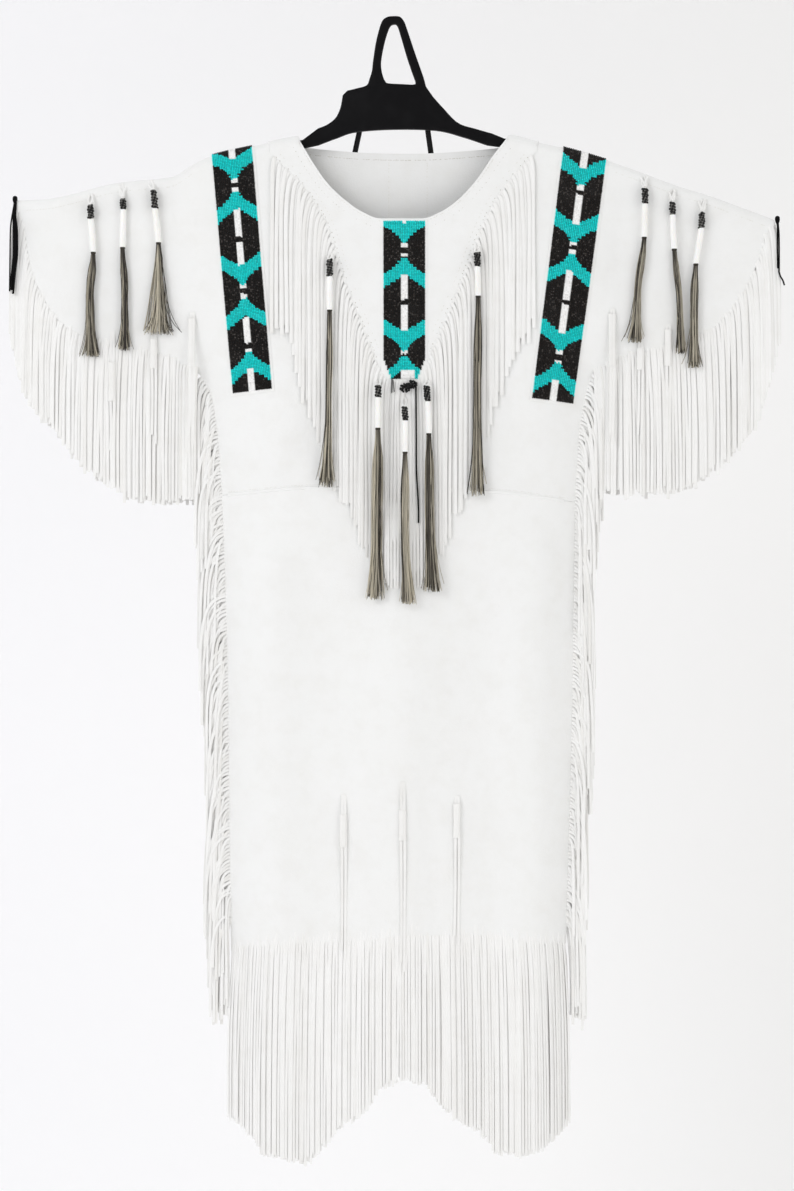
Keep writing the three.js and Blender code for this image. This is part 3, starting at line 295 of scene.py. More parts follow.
class Garment:
    """The surface of the hanging dress, from which every piece takes its place."""

    def __init__(self) -> None:
        """Make the curves of the cut."""
        self.shoulder = Profile(SHOULDER_LINE)
        self.neck = {Face.FRONT: Profile(FRONT_NECKLINE), Face.BACK: Profile(BACK_NECKLINE)}
        self.sleeve_r, self.sleeve_l = Profile(SLEEVE_EDGE_R), Profile(SLEEVE_EDGE_L)
        self.seam_r, self.seam_l = Profile(SIDE_SEAM_R), Profile(SIDE_SEAM_L)
        self.yoke_seam, self.hem = Profile(YOKE_SEAM), Profile(HEM_LINE)
        self.top_depth, self.low_depth = Profile(TOP_DEPTH), Profile(LOW_DEPTH)
        self.bib_r, self.bib_l = Profile(BIB_EDGE_R), Profile(BIB_EDGE_L)

    def seam_distance(self, x: Array, z: Array) -> Array:
        """Give the distance to the nearer side seam."""
        nearest = np.full(np.shape(x), np.inf)
        for seam in (SIDE_SEAM_R, SIDE_SEAM_L):
            for (az, ax), (bz, bx) in zip(seam, seam[1:]):
                nearest = np.minimum(nearest, distance_to_line(x, z, (ax, az), (bx, bz)))
        return nearest

    @staticmethod
    def relief(face: Face, x: Array, z: Array, rows: Iterable[Fold]) -> Array:
        """Add up the folds of one face at places of the cloth."""
        total = np.zeros(np.shape(x))
        for row in rows:
            if row.face is face:
                away = distance_to_line(x, z, row.start, row.end) / row.width
                total = total + row.height * np.exp(-away * away)
        return total

    @staticmethod
    def slack(face: Face, x: Array, z: Array) -> Array:
        """Give the slight waviness of hanging hide."""
        turn = 1.7 if face is Face.BACK else 0.0
        return (0.55 * np.sin(x / 31 + 0.9 * np.sin(z / 83 + turn) + turn)
                + 0.45 * np.sin(x / 19 - z / 127 + 2.1 * turn)
                + 0.35 * np.sin(z / 41 + x / 57 + turn))

    def depth(self, face: Face, x: Array, z: Array) -> Array:
        """Give half the room inside the dress at places of one face.

        Args:
            face: Front or back.
            x: X of the places.
            z: Z of the places.

        Returns:
            The distance of the cloth's inner face from the middle plane.
        """
        x, z = np.asarray(x, dtype=float), np.asarray(z, dtype=float)
        below = np.maximum(0.0, self.shoulder(x) - z)
        rounded = np.sqrt(np.maximum(0.0, 1 - (1 - np.minimum(below / FOLD_RADIUS, 1)) ** 2))
        room = mix(self.top_depth(x), self.low_depth(x), ease(below / DEPTH_SETTLES))
        flare = HEM_FLARE * ease((UNDERARM_Z - z) / (UNDERARM_Z - HEM_Z))
        from_seam = 1 - (1 - clamp01(self.seam_distance(x, z) / SEAM_REACH)) ** SEAM_ROUNDING
        folds = self.relief(face, x, z, FOLDS) * ease(below / FOLDS_BEGIN)
        fine = (self.relief(face, x, z, CREASES) + self.slack(face, x, z)) * ease(below / 40.0)
        return (room + flare + folds + fine) * rounded * from_seam

    def normal(self, face: Face, x: Array, z: Array) -> Array:
        """Give the way out of the cloth at places of one face."""
        x, z = np.asarray(x, dtype=float), np.asarray(z, dtype=float)
        below = self.shoulder(x) - z
        step = 0.5
        up = np.clip(below, 0.0, step)
        across = (self.depth(face, x + step, z) - self.depth(face, x - step, z)) / (2 * step)
        climb = (self.depth(face, x, z + up) - self.depth(face, x, z - step)) / (up + step)
        ordinary = unit(column(-across, float(face.value), -climb))
        rise = (self.shoulder(x + 1) - self.shoulder(x - 1)) / 2
        crest = unit(column(-rise, 0.0, 1.0))
        return np.where((below < 0.02)[..., None], crest, ordinary)

    def place(self, face: Face, x: Array, z: Array, height: float | Array = 0.0) -> Array:
        """Give points on the cloth, raised from its inner face.

        Args:
            face: Front or back.
            x: X of the places.
            z: Z of the places.
            height: How far above the cloth's inner face.

        Returns:
            The points.
        """
        flat = column(x, face.value * (SEAM_GAP + self.depth(face, x, z)), z)
        return flat + self.normal(face, x, z) * np.asarray(height)[..., None]

    def top(self, face: Face, x: Array) -> Array:
        """Give the yoke's upper edge: the neckline or the shoulder."""
        inside = (x > FRONT_NECKLINE[0][0]) & (x < FRONT_NECKLINE[-1][0])
        return np.where(inside, self.neck[face](x), self.shoulder(x))

    def sleeve_foot(self, x: Array) -> Array:
        """Give the yoke's lower edge: the open sleeves, and the underarm level between them."""
        x = np.asarray(x, dtype=float)
        foot = np.where(x < SIDE_SEAM_R[0][1], self.sleeve_r(x), UNDERARM_Z)
        return np.where(x > SIDE_SEAM_L[0][1], self.sleeve_l(x), foot)

    def width_at(self, share: Array, z: Array) -> Array:
        """Give X at a share of the way between the side seams at a height."""
        return mix(self.seam_r(z), self.seam_l(z), share)

    def forward(self, x: Array, z: Array, height: float = LEATHER) -> Array:
        """Give how far forward the front stands at places, as a positive number."""
        return SEAM_GAP + self.depth(Face.FRONT, x, z) + height


# ---------------------------------------------------------------- meshes

def closed_mesh(points: Array, faces: list[list[int]]) -> Mesh:
    """Make a mesh from millimetres whose faces point outwards.

    Args:
        points: Its points in millimetres.
        faces: Faces as lists of point numbers, all wound one way.

    Returns:
        The mesh.
    """
    fans = np.array([(f[0], f[i], f[i + 1]) for f in faces for i in range(1, len(f) - 1)])
    a, b, c = points[fans[:, 0]], points[fans[:, 1]], points[fans[:, 2]]
    if np.einsum("ij,ij->i", a, np.cross(b, c)).sum() < 0:
        faces = [face[::-1] for face in faces]
    mesh = bpy.data.meshes.new("piece")
    mesh.from_pydata((points * MM).tolist(), [], faces)
    mesh.validate()
    return mesh


def piece(name: str, mesh: Mesh, finish: "Finish", corner: float = 40.0) -> Part:
    """Put a mesh into the scene as a piece of the dress with its finish.

    Args:
        name: Name of the piece.
        mesh: Its mesh.
        finish: What it is made of.
        corner: Edges sharper than this many degrees stay sharp.

    Returns:
        The piece.
    """
    mesh.name = name
    made = bpy.data.objects.new(name, mesh)
    bpy.context.collection.objects.link(made)
    mesh.materials.clear()
    mesh.materials.append(finish.material())
    mesh.shade_smooth()
    mesh.set_sharp_from_angle(angle=math.radians(corner))
    enrol(made)
    return made


def enrol(made: Part) -> None:
    """Make a piece ride on the body, and report it."""
    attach(made, "root")
    LOG.info("%s: %d faces", made.name, len(made.data.polygons))


def shell(low: Array, high: Array, valid: Array | None = None) -> Solid:
    """Make a closed wall between two grids of points.

    Args:
        low: Points of one side, rows by columns.
        high: Points of the other side.
        valid: Which nodes of the grid exist.

    Returns:
        The points and the faces.
    """
    rows, columns = low.shape[:2]
    exists = np.ones((rows, columns), bool) if valid is None else valid
    cell = exists[:-1, :-1] & exists[1:, :-1] & exists[:-1, 1:] & exists[1:, 1:]
    number = np.arange(rows * columns).reshape(rows, columns)
    half = rows * columns
    a, b, c, d = number[:-1, :-1], number[1:, :-1], number[1:, 1:], number[:-1, 1:]
    faces = np.stack([a, b, c, d], -1)[cell].tolist()
    faces += (np.stack([d, c, b, a], -1)[cell] + half).tolist()
    padded = np.pad(cell, 1)
    sides = (
        (~padded[1:-1, :-2] & cell, b, a), (~padded[2:, 1:-1] & cell, c, b),
        (~padded[1:-1, 2:] & cell, d, c), (~padded[:-2, 1:-1] & cell, a, d),
    )
    for edge, start, end in sides:
        p, q = start[edge], end[edge]
        faces += np.stack([p, q, q + half, p + half], -1).tolist()
    points = np.concatenate([low.reshape(-1, 3), high.reshape(-1, 3)])
    used = np.unique(np.array([i for face in faces for i in face]))
    renumber = np.zeros(len(points), int)
    renumber[used] = np.arange(len(used))
    return points[used], [[int(renumber[i]) for i in face] for face in faces]


def grid_normals(grid: Array, face: Face) -> Array:
    """Give the way out at each node of a grid of points on one face."""
    across = np.gradient(grid, axis=1)
    along = np.gradient(grid, axis=0)
    out = unit(np.cross(along, across))
    middle = out[grid.shape[0] // 2, grid.shape[1] // 2]
    return out if middle[1] * face.value > 0 else -out


def lathe(stations: Sequence[tuple[Array, float]], sides: int) -> Solid:
    """Make a closed round form whose rings lie level.

    Args:
        stations: Centre and radius of each ring, from top to foot.
        sides: Points on a ring.

    Returns:
        The points and the faces.
    """
    turn = np.arange(sides) / sides * 2 * math.pi
    rings = [np.asarray(c) + r * column(np.cos(turn), np.sin(turn), 0.0) for c, r in stations]
    faces = []
    for s in range(len(rings) - 1):
        for k in range(sides):
            a, b = s * sides + k, s * sides + (k + 1) % sides
            faces.append([a, b, b + sides, a + sides])
    last = (len(rings) - 1) * sides
    faces.append(list(range(sides))[::-1])
    faces.append([last + k for k in range(sides)])
    return np.concatenate(rings), faces


# ---------------------------------------------------------------- node trees

class NodeWork:
    """A node tree under construction."""

    def __init__(self, tree: bpy.types.NodeTree) -> None:
        """Keep the tree that nodes go into."""
        self.tree = tree

    def add(self, kind: str, **settings: Any) -> Node:
        """Add a node and set its properties."""
        node = self.tree.nodes.new(kind)
        for key, value in settings.items():
            setattr(node, key, value)
        return node

    def join(self, given: Any, socket: Socket) -> None:
        """Link an output to an input, or set the input to a plain value."""
        if isinstance(given, Socket):
            self.tree.links.new(given, socket)
        else:
            socket.default_value = given

    def feed(self, node: Node, **inputs: Any) -> Node:
        """Link or set inputs of a node by their names, with _ for a space.

        Args:
            node: The node to feed.
            **inputs: An output socket to link, or a plain value to set.

        Returns:
            The same node.
        """
        for key, given in inputs.items():
            label = key.replace("_", " ")
            self.join(given, next(s for s in node.inputs if s.name == label and s.enabled))
        return node

    def node(self, kind: str, **inputs: Any) -> Socket:
        """Add a node with its ordinary settings, feed it and give its first output."""
        return self.feed(self.add(kind), **inputs).outputs[0]

    def math(self, operation: str, first: Any, second: Any) -> Socket:
        """Work with two values, each a socket or a number, and give the result."""
        node = self.add("ShaderNodeMath", operation=operation)
        self.join(first, node.inputs[0])
        self.join(second, node.inputs[1])
        return node.outputs[0]


GUIDE_LAYERS = ("flat", "breadth", "pole", "facing", "custom_normal", "radius", "tilt")


class PartTree(NodeWork):
    """A Geometry Nodes tree with named inputs that turns a guide into a plain mesh."""

    def __init__(self, name: str, inputs: Sequence[tuple[str, str, Any]]) -> None:
        """Start a tree.

        Args:
            name: Name of the tree.
            inputs: Label, kind and starting value of each input beside the guide and the material.
        """
        super().__init__(bpy.data.node_groups.new(name, "GeometryNodeTree"))
        sockets = self.tree.interface
        sockets.new_socket(name="Guide", in_out="INPUT", socket_type="NodeSocketGeometry")
        sockets.new_socket(name="Part", in_out="OUTPUT", socket_type="NodeSocketGeometry")
        for label, kind, value in inputs:
            socket = sockets.new_socket(name=label, in_out="INPUT", socket_type=f"NodeSocket{kind}")
            socket.default_value = value
        sockets.new_socket(name="Material", in_out="INPUT", socket_type="NodeSocketMaterial")
        self.given, self.sink = self.add("NodeGroupInput").outputs, self.add("NodeGroupOutput")

    def attribute(self, name: str, kind: str) -> Socket:
        """Give the output of a node that reads a named attribute."""
        node = self.feed(self.add("GeometryNodeInputNamedAttribute", data_type=kind), Name=name)
        return next(s for s in node.outputs if s.enabled and s.name == "Attribute")

    def vary(self, kind: str, low: Any, high: Any) -> Socket:
        """Give a random value between two limits for each point."""
        node = self.feed(self.add("FunctionNodeRandomValue", data_type=kind), Min=low, Max=high,
                         Seed=self.given["Seed"])
        return next(s for s in node.outputs if s.enabled)

    def shade(self, domain: str, **inputs: Any) -> Socket:
        """Set which faces or edges are shaded smooth."""
        return self.feed(self.add("GeometryNodeSetShadeSmooth", domain=domain), **inputs).outputs[0]

    def finish(self, part: Socket) -> None:
        """End the tree in real geometry with its material."""
        real = self.node("GeometryNodeRealizeInstances", Geometry=part)
        coated = self.node("GeometryNodeSetMaterial", Geometry=real, Material=self.given["Material"])
        self.join(coated, self.sink.inputs[0])

    def build(self, name: str, guide: Mesh, finish: "Finish", **values: Any) -> Part:
        """Run the tree over a guide and keep the result as a piece.

        Args:
            name: Name of the piece.
            guide: Points or paths with their attributes.
            finish: What the piece is made of.
            **values: Inputs of the tree by their labels.

        Returns:
            The piece, a plain mesh.
        """
        holder = bpy.data.objects.new(name + "_guide", guide)
        bpy.context.collection.objects.link(holder)
        modifier = holder.modifiers.new("make", "NODES")
        modifier.node_group = self.tree
        labels = {item.name: item.identifier for item in self.tree.interface.items_tree
                  if item.in_out == "INPUT"}
        for key, value in {**values, "Material": finish.material()}.items():
            modifier[labels[key]] = value
        graph = bpy.context.evaluated_depsgraph_get()
        mesh = bpy.data.meshes.new_from_object(
            holder.evaluated_get(graph), preserve_all_data_layers=True, depsgraph=graph)
        holder.modifiers.remove(modifier)
        bpy.data.objects.remove(holder)
        bpy.data.meshes.remove(guide)
        for layer in [a.name for a in mesh.attributes if a.name in GUIDE_LAYERS]:
            mesh.attributes.remove(mesh.attributes[layer])
        mesh.name = name
        made = bpy.data.objects.new(name, mesh)
        bpy.context.collection.objects.link(made)
        enrol(made)
        return made


def swept_tree() -> PartTree:
    """Make the tree that sweeps a section along paths, for fringe, hair, thongs and thread."""
    t = PartTree("sweep_along_paths", (
        ("Width", "Float", 0.003), ("Thickness", "Float", 0.001), ("Sides", "Int", 4),
        ("Corner", "Float", 0.9)))
    given = t.given
    paths = t.node("GeometryNodeMeshToCurve", Mesh=given["Guide"])
    turned = t.feed(t.add("GeometryNodeSetCurveNormal", mode="FREE"), Curve=paths,
                    Normal=t.attribute("flat", "FLOAT_VECTOR")).outputs[0]
    ring = t.node("GeometryNodeCurvePrimitiveCircle", Resolution=given["Sides"], Radius=0.5)
    start = t.node("ShaderNodeCombineXYZ", Z=t.math("DIVIDE", math.pi, given["Sides"]))
    square = t.node("GeometryNodeTransform", Geometry=ring, Rotation=start)
    size = t.node("ShaderNodeCombineXYZ", X=given["Thickness"], Y=given["Width"], Z=1.0)
    section = t.node("GeometryNodeTransform", Geometry=square, Scale=size)
    swept = t.node("GeometryNodeCurveToMesh", Curve=turned, Profile_Curve=section,
                   Scale=t.attribute("breadth", "FLOAT"), Fill_Caps=True)
    soft = t.shade("FACE", Geometry=swept, Shade_Smooth=True)
    sharp = t.add("FunctionNodeCompare", data_type="FLOAT", operation="GREATER_THAN")
    t.join(t.add("GeometryNodeInputMeshEdgeAngle").outputs["Unsigned Angle"], sharp.inputs[0])
    t.join(given["Corner"], sharp.inputs[1])
    t.finish(t.shade("EDGE", Geometry=soft, Selection=sharp.outputs[0], Shade_Smooth=False))
    return t


def scattered_tree() -> PartTree:
    """Make the tree that sets a small round part on each point, for beads, stitches and holes."""
    t = PartTree("parts_on_points", (
        ("Across", "Float", 0.001), ("Along", "Float", 0.0008), ("Segments", "Int", 6), ("Rings", "Int", 4),
        ("Unevenness", "Float", 0.05), ("Turn", "Float", 0.05), ("Seed", "Int", 1)))
    given = t.given
    ball = t.node("GeometryNodeMeshUVSphere", Segments=given["Segments"], Rings=given["Rings"], Radius=1.0)
    aimed = t.feed(t.add("FunctionNodeAxesToRotation", primary_axis="Z", secondary_axis="X"),
                   Primary_Axis=t.attribute("pole", "FLOAT_VECTOR"),
                   Secondary_Axis=t.attribute("facing", "FLOAT_VECTOR")).outputs[0]
    lean = t.vary("FLOAT_VECTOR", t.math("MULTIPLY", given["Turn"], -1.0), given["Turn"])
    rotation = t.feed(t.add("FunctionNodeRotateRotation", rotation_space="LOCAL"), Rotation=aimed,
                      Rotate_By=t.node("FunctionNodeEulerToRotation", Euler=lean)).outputs[0]
    uneven = given["Unevenness"]
    varied = t.vary("FLOAT", t.math("SUBTRACT", 1.0, uneven), t.math("ADD", uneven, 1.0))
    scale = t.add("ShaderNodeVectorMath", operation="SCALE")
    size = t.node("ShaderNodeCombineXYZ", X=given["Across"], Y=given["Across"], Z=given["Along"])
    t.join(size, scale.inputs[0])
    t.join(varied, scale.inputs["Scale"])
    placed = t.node("GeometryNodeInstanceOnPoints", Points=given["Guide"], Instance=ball, Rotation=rotation,
                    Scale=scale.outputs[0])
    real = t.node("GeometryNodeRealizeInstances", Geometry=placed)
    t.finish(t.shade("FACE", Geometry=real, Shade_Smooth=True))
    return t


def store(mesh: Mesh, name: str, kind: str, values: Array) -> None:
    """Keep a value on each point of a mesh."""
    layer = mesh.attributes.new(name, kind, "POINT")
    key = {"FLOAT": "value", "FLOAT_VECTOR": "vector", "FLOAT_COLOR": "color"}[kind]
    layer.data.foreach_set(key, np.ascontiguousarray(values, dtype=np.float32).ravel())


def path_guide(paths: Array, flat: Array, breadth: Array | float, shade: Array | float) -> Mesh:
    """Make a guide of open paths for the sweeping tree.

    Args:
        paths: Points in millimetres, paths by points by XYZ.
        flat: The way that each point's flat side faces.
        breadth: Share of the full width at each point.
        shade: Darkness of each point, from 0 to 1.

    Returns:
        A mesh of edges.
    """
    count, steps = paths.shape[:2]
    number = np.arange(count * steps).reshape(count, steps)
    mesh = bpy.data.meshes.new("guide")
    edges = np.stack([number[:, :-1], number[:, 1:]], -1).reshape(-1, 2)
    mesh.from_pydata((paths.reshape(-1, 3) * MM).tolist(), edges.tolist(), [])
    store(mesh, "flat", "FLOAT_VECTOR", np.broadcast_to(flat, paths.shape))
    store(mesh, "breadth", "FLOAT", np.broadcast_to(breadth, (count, steps)))
    store(mesh, "shade", "FLOAT", np.broadcast_to(shade, (count, steps)))
    return mesh


def point_guide(points: Array, pole: Array, facing: Array, tint: Array) -> Mesh:
    """Make a guide of loose points for the scattering tree.

    Args:
        points: Places in millimetres.
        pole: The way each part's own axis points.
        facing: The way each part faces.
        tint: Colour of each part, with alpha.

    Returns:
        A mesh of points.
    """
    mesh = bpy.data.meshes.new("guide")
    mesh.from_pydata((points * MM).tolist(), [], [])
    store(mesh, "pole", "FLOAT_VECTOR", np.broadcast_to(pole, points.shape))
    store(mesh, "facing", "FLOAT_VECTOR", np.broadcast_to(facing, points.shape))
    store(mesh, "tint", "FLOAT_COLOR", np.broadcast_to(tint, (len(points), 4)))
    return mesh


@dataclass
class Workshop:
    """The garment's surface and the two part-making trees, shared by every sub-assembly."""

    garment: Garment = field(default_factory=Garment)
    sweep: PartTree = field(default_factory=swept_tree)
    scatter: PartTree = field(default_factory=scattered_tree)

    def cords(self, name: str, guide: Mesh, finish: "Finish", width: float, thickness: float, sides: int = 4,
              corner: float = 0.9) -> Part:
        """Sweep a flat section along every path of a guide.

        Args:
            name: Name of the piece.
            guide: The paths.
            finish: What it is made of.
            width: Width of the section in millimetres.
            thickness: Its thickness in millimetres.
            sides: Number of its sides.
            corner: Edges sharper than this many radians stay sharp.

        Returns:
            The piece.
        """
        return self.sweep.build(name, guide, finish, Width=width * MM, Thickness=thickness * MM, Sides=sides,
                                Corner=corner)

    def grains(self, name: str, guide: Mesh, finish: "Finish", size: tuple[float, float],
               cuts: tuple[int, int], uneven: float, turn: float, seed: int) -> Part:
        """Set a small round part on every point of a guide.

        Args:
            name: Name of the piece.
            guide: The points.
            finish: What it is made of.
            size: Half the part's thickness and half its length in millimetres.
            cuts: Number of its segments and rings.
            uneven: How much the sizes differ, as a share.
            turn: Most that a part leans, in radians.
            seed: Seed of the small differences.

        Returns:
            The piece.
        """
        return self.scatter.build(name, guide, finish, Across=size[0] * MM, Along=size[1] * MM,
                                  Segments=cuts[0], Rings=cuts[1], Unevenness=uneven, Turn=turn, Seed=seed)


# ---------------------------------------------------------------- finishes

class ShaderWork(NodeWork):
    """A material, or a shader group, under construction."""

    def times(self, first: Any, second: Any) -> Socket:
        """Multiply two values."""
        return self.math("MULTIPLY", first, second)

    def plus(self, first: Any, second: Any) -> Socket:
        """Add two values."""
        return self.math("ADD", first, second)

    def noise(self, vector: Socket, scale: Any, detail: float = 3.0, rough: float = 0.55) -> Socket:
        """Add a noise pattern and give its value."""
        return self.node("ShaderNodeTexNoise", Vector=vector, Scale=scale, Detail=detail, Roughness=rough)

    def range(self, value: Socket, low: float, high: float, to_low: float = 0.0,
              to_high: float = 1.0) -> Socket:
        """Map a value from one range to another and give the result."""
        return self.node("ShaderNodeMapRange", Value=value, From_Min=low, From_Max=high, To_Min=to_low,
                         To_Max=to_high)

    def blend(self, share: Socket, first: Any, second: Any) -> Socket:
        """Mix two colours, each a socket or a plain colour, and give the result."""
        node = self.add("ShaderNodeMix", data_type="RGBA")
        self.join(share, node.inputs["Factor"])
        for socket, given in zip([s for s in node.inputs if s.type == "RGBA"], (first, second)):
            self.join(given, socket)
        return next(s for s in node.outputs if s.type == "RGBA")

    def attribute(self, name: str, output: str) -> Socket:
        """Read an attribute of the piece."""
        return self.add("ShaderNodeAttribute", attribute_name=name, attribute_type="GEOMETRY").outputs[output]

    def bump(self, surface: Node, height: Socket, strength: float, distance: float) -> None:
        """Turn a height into the surface's normal."""
        raised = self.node("ShaderNodeBump", Strength=strength, Distance=distance, Height=height)
        self.feed(surface, Normal=raised)

    def group(self, tree: bpy.types.NodeTree, **values: Any) -> Any:
        """Place a shared group with its values and give its outputs."""
        return self.feed(self.add("ShaderNodeGroup", node_tree=tree), **values).outputs


def shared_group(name: str, fill: Callable[[ShaderWork, Any, Any], None], inputs: Sequence[str],
                 outputs: Sequence[str]) -> bpy.types.NodeTree:
    """Build a shader group once and give the same one afterwards.

    Args:
        name: Name of the group.
        fill: Fills the group, given the work, its given outputs and its last node.
        inputs: Label of each input: the vector and plain values.
        outputs: Label of each output, a plain value.

    Returns:
        The group.
    """
    if name in bpy.data.node_groups:
        return bpy.data.node_groups[name]
    tree = bpy.data.node_groups.new(name, "ShaderNodeTree")
    for way, labels in (("INPUT", inputs), ("OUTPUT", outputs)):
        for label in labels:
            kind = "NodeSocketVector" if label == "Vector" else "NodeSocketFloat"
            tree.interface.new_socket(name=label, in_out=way, socket_type=kind)
    work = ShaderWork(tree)
    fill(work, work.add("NodeGroupInput").outputs, work.add("NodeGroupOutput"))
    return tree


def fill_nap(b: ShaderWork, given: Any, sink: Node) -> None:
    """Fill the group that gives the mottle and the nap of tanned hide."""
    vector, grain = given["Vector"], given["Grain Scale"]
    broad = b.noise(vector, given["Mottle Scale"], 4.0, 0.5)
    fine = b.noise(vector, grain, 5.0, 0.7)
    pebble = b.feed(b.add("ShaderNodeTexVoronoi", feature="F1"), Vector=vector, Scale=b.times(grain, 0.45))
    b.feed(sink, Mottle=b.range(broad, 0.32, 0.7), Speckle=b.range(fine, 0.3, 0.7),
           Height=b.plus(fine, b.times(pebble.outputs["Distance"], 0.6)))


def nap_group() -> bpy.types.NodeTree:
    """Give the shared group of the hide's nap."""
    return shared_group("hide_nap", fill_nap, ("Vector", "Grain Scale", "Mottle Scale"),
                        ("Mottle", "Height", "Speckle"))


def fill_handling(b: ShaderWork, given: Any, sink: Node) -> None:
    """Fill the group that gives slight marks of handling as a mask."""
    streak = b.noise(given["Vector"], 38.0, 5.0, 0.6)
    b.feed(sink, Marks=b.times(b.range(streak, 0.45, 0.75), given["Amount"]))


def handling_group() -> bpy.types.NodeTree:
    """Give the shared group of handling marks."""
    return shared_group("handling_marks", fill_handling, ("Vector", "Amount"), ("Marks",))


class Finish:
    """What a piece is made of; each kind makes its material once."""

    name: str
    slot: str

    def material(self) -> bpy.types.Material:
        """Give this finish's material, made on first use."""
        if self.name in bpy.data.materials:
            return bpy.data.materials[self.name]
        made = bpy.data.materials.new(self.name)
        made.use_nodes = True
        work = ShaderWork(made.node_tree)
        vector = work.add("ShaderNodeTexCoord").outputs["Object"]
        self.dress(work, made.node_tree.nodes["Principled BSDF"], vector)
        return made

    def dress(self, b: ShaderWork, surface: Node, vector: Socket) -> None:
        """Set the surface's sockets and link its patterns, which lie in the piece's own place."""
        raise NotImplementedError


@dataclass(frozen=True)
class Hide(Finish):
    """White brain-tanned buckskin with a soft nap."""

    name: str = "buckskin_white"
    slot: str = "buckskin"
    colour: tuple = (0.90, 0.90, 0.888, 1.0)
    shadow: tuple = (0.80, 0.785, 0.745, 1.0)
    mottle: float = 0.10
    grain: float = 900.0
    bump_depth: float = 0.00035
    sheen: float = 0.35

    def dress(self, b: ShaderWork, surface: Node, vector: Socket) -> None:
        """Mottle the white, darken by the piece's own shade, and raise the nap."""
        nap = b.group(nap_group(), Vector=vector, Grain_Scale=self.grain, Mottle_Scale=14.0)
        marks = b.group(handling_group(), Vector=vector, Amount=0.25)["Marks"]
        total = b.plus(b.plus(b.times(nap["Mottle"], self.mottle), marks), b.attribute("shade", "Fac"))
        b.feed(surface, Base_Color=b.blend(b.range(total, 0.0, 1.0), self.colour, self.shadow),
               Roughness=b.range(nap["Speckle"], 0.0, 1.0, 0.78, 0.95), Specular_IOR_Level=0.25,
               Sheen_Weight=self.sheen, Sheen_Roughness=0.45)
        b.bump(surface, nap["Height"], 0.5, self.bump_depth)


@dataclass(frozen=True)
class Glass(Finish):
    """Opaque glass seed beads that take their colour from each bead."""

    name: str = "seed_beads"
    slot: str = "beadwork"
    roughness: float = 0.17
    specular: float = 0.3
    dust: tuple = (0.4, 0.4, 0.4, 1)

    def dress(self, b: ShaderWork, surface: Node, vector: Socket) -> None:
        """Colour each bead and vary its polish."""
        marks = b.group(handling_group(), Vector=vector, Amount=0.5)["Marks"]
        smooth, worn = self.roughness - 0.06, self.roughness + 0.14
        b.feed(surface, Base_Color=b.blend(b.times(marks, 0.05), b.attribute("tint", "Color"), self.dust),
               Roughness=b.range(b.noise(vector, 700.0), 0.3, 0.7, smooth, worn),
               Specular_IOR_Level=self.specular)


@dataclass(frozen=True)
class Plain(Finish):
    """A finish of one colour family with fine grain: plastic, thread, thong, tube or ground."""

    name: str = "plain"
    slot: str = "buckskin"
    colour: tuple = (0.8, 0.8, 0.8, 1.0)
    second: tuple = (0.7, 0.7, 0.7, 1.0)
    roughness: float = 0.5
    grain: float = 600.0
    bump_strength: float = 0.2
    bump_depth: float = 0.0002
    specular: float = 0.5
    coat: float = 0.0
    subsurface: float = 0.0

    def dress(self, b: ShaderWork, surface: Node, vector: Socket) -> None:
        """Vary the colour and the polish and raise a fine grain."""
        marks = b.group(handling_group(), Vector=vector, Amount=0.6)["Marks"]
        grain = b.noise(vector, self.grain, 4.0, 0.6)
        share = b.plus(b.plus(marks, b.attribute("shade", "Fac")), b.times(grain, 0.25))
        b.feed(surface, Base_Color=b.blend(b.range(share, 0.05, 1.0), self.colour, self.second),
               Roughness=b.range(grain, 0.3, 0.7, self.roughness - 0.06, self.roughness + 0.08),
               Specular_IOR_Level=self.specular, Coat_Weight=self.coat, Coat_Roughness=0.25,
               Subsurface_Weight=self.subsurface, Subsurface_Radius=(0.004, 0.003, 0.002),
               Subsurface_Scale=1.0)
        b.bump(surface, grain, self.bump_strength, self.bump_depth)


@dataclass(frozen=True)
class Hair(Finish):
    """Horsehair whose strands differ and are darker at the head."""

    name: str = "horsehair"
    slot: str = "hair"
    pale: tuple = (0.68, 0.62, 0.49, 1.0)
    dark: tuple = (0.024, 0.019, 0.014, 1.0)
    streaks: tuple = (900.0, 900.0, 14.0)

    def dress(self, b: ShaderWork, surface: Node, vector: Socket) -> None:
        """Shade each strand by its own value and streak it along its length."""
        streak = b.noise(b.node("ShaderNodeMapping", Vector=vector, Scale=self.streaks), 1.0, 2.0)
        share = b.plus(b.attribute("shade", "Fac"), b.range(streak, 0.3, 0.7, -0.18, 0.18))
        b.feed(surface, Base_Color=b.blend(b.range(share, 0.0, 1.0), self.pale, self.dark),
               Roughness=b.range(streak, 0.3, 0.7, 0.38, 0.52), Specular_IOR_Level=0.4)


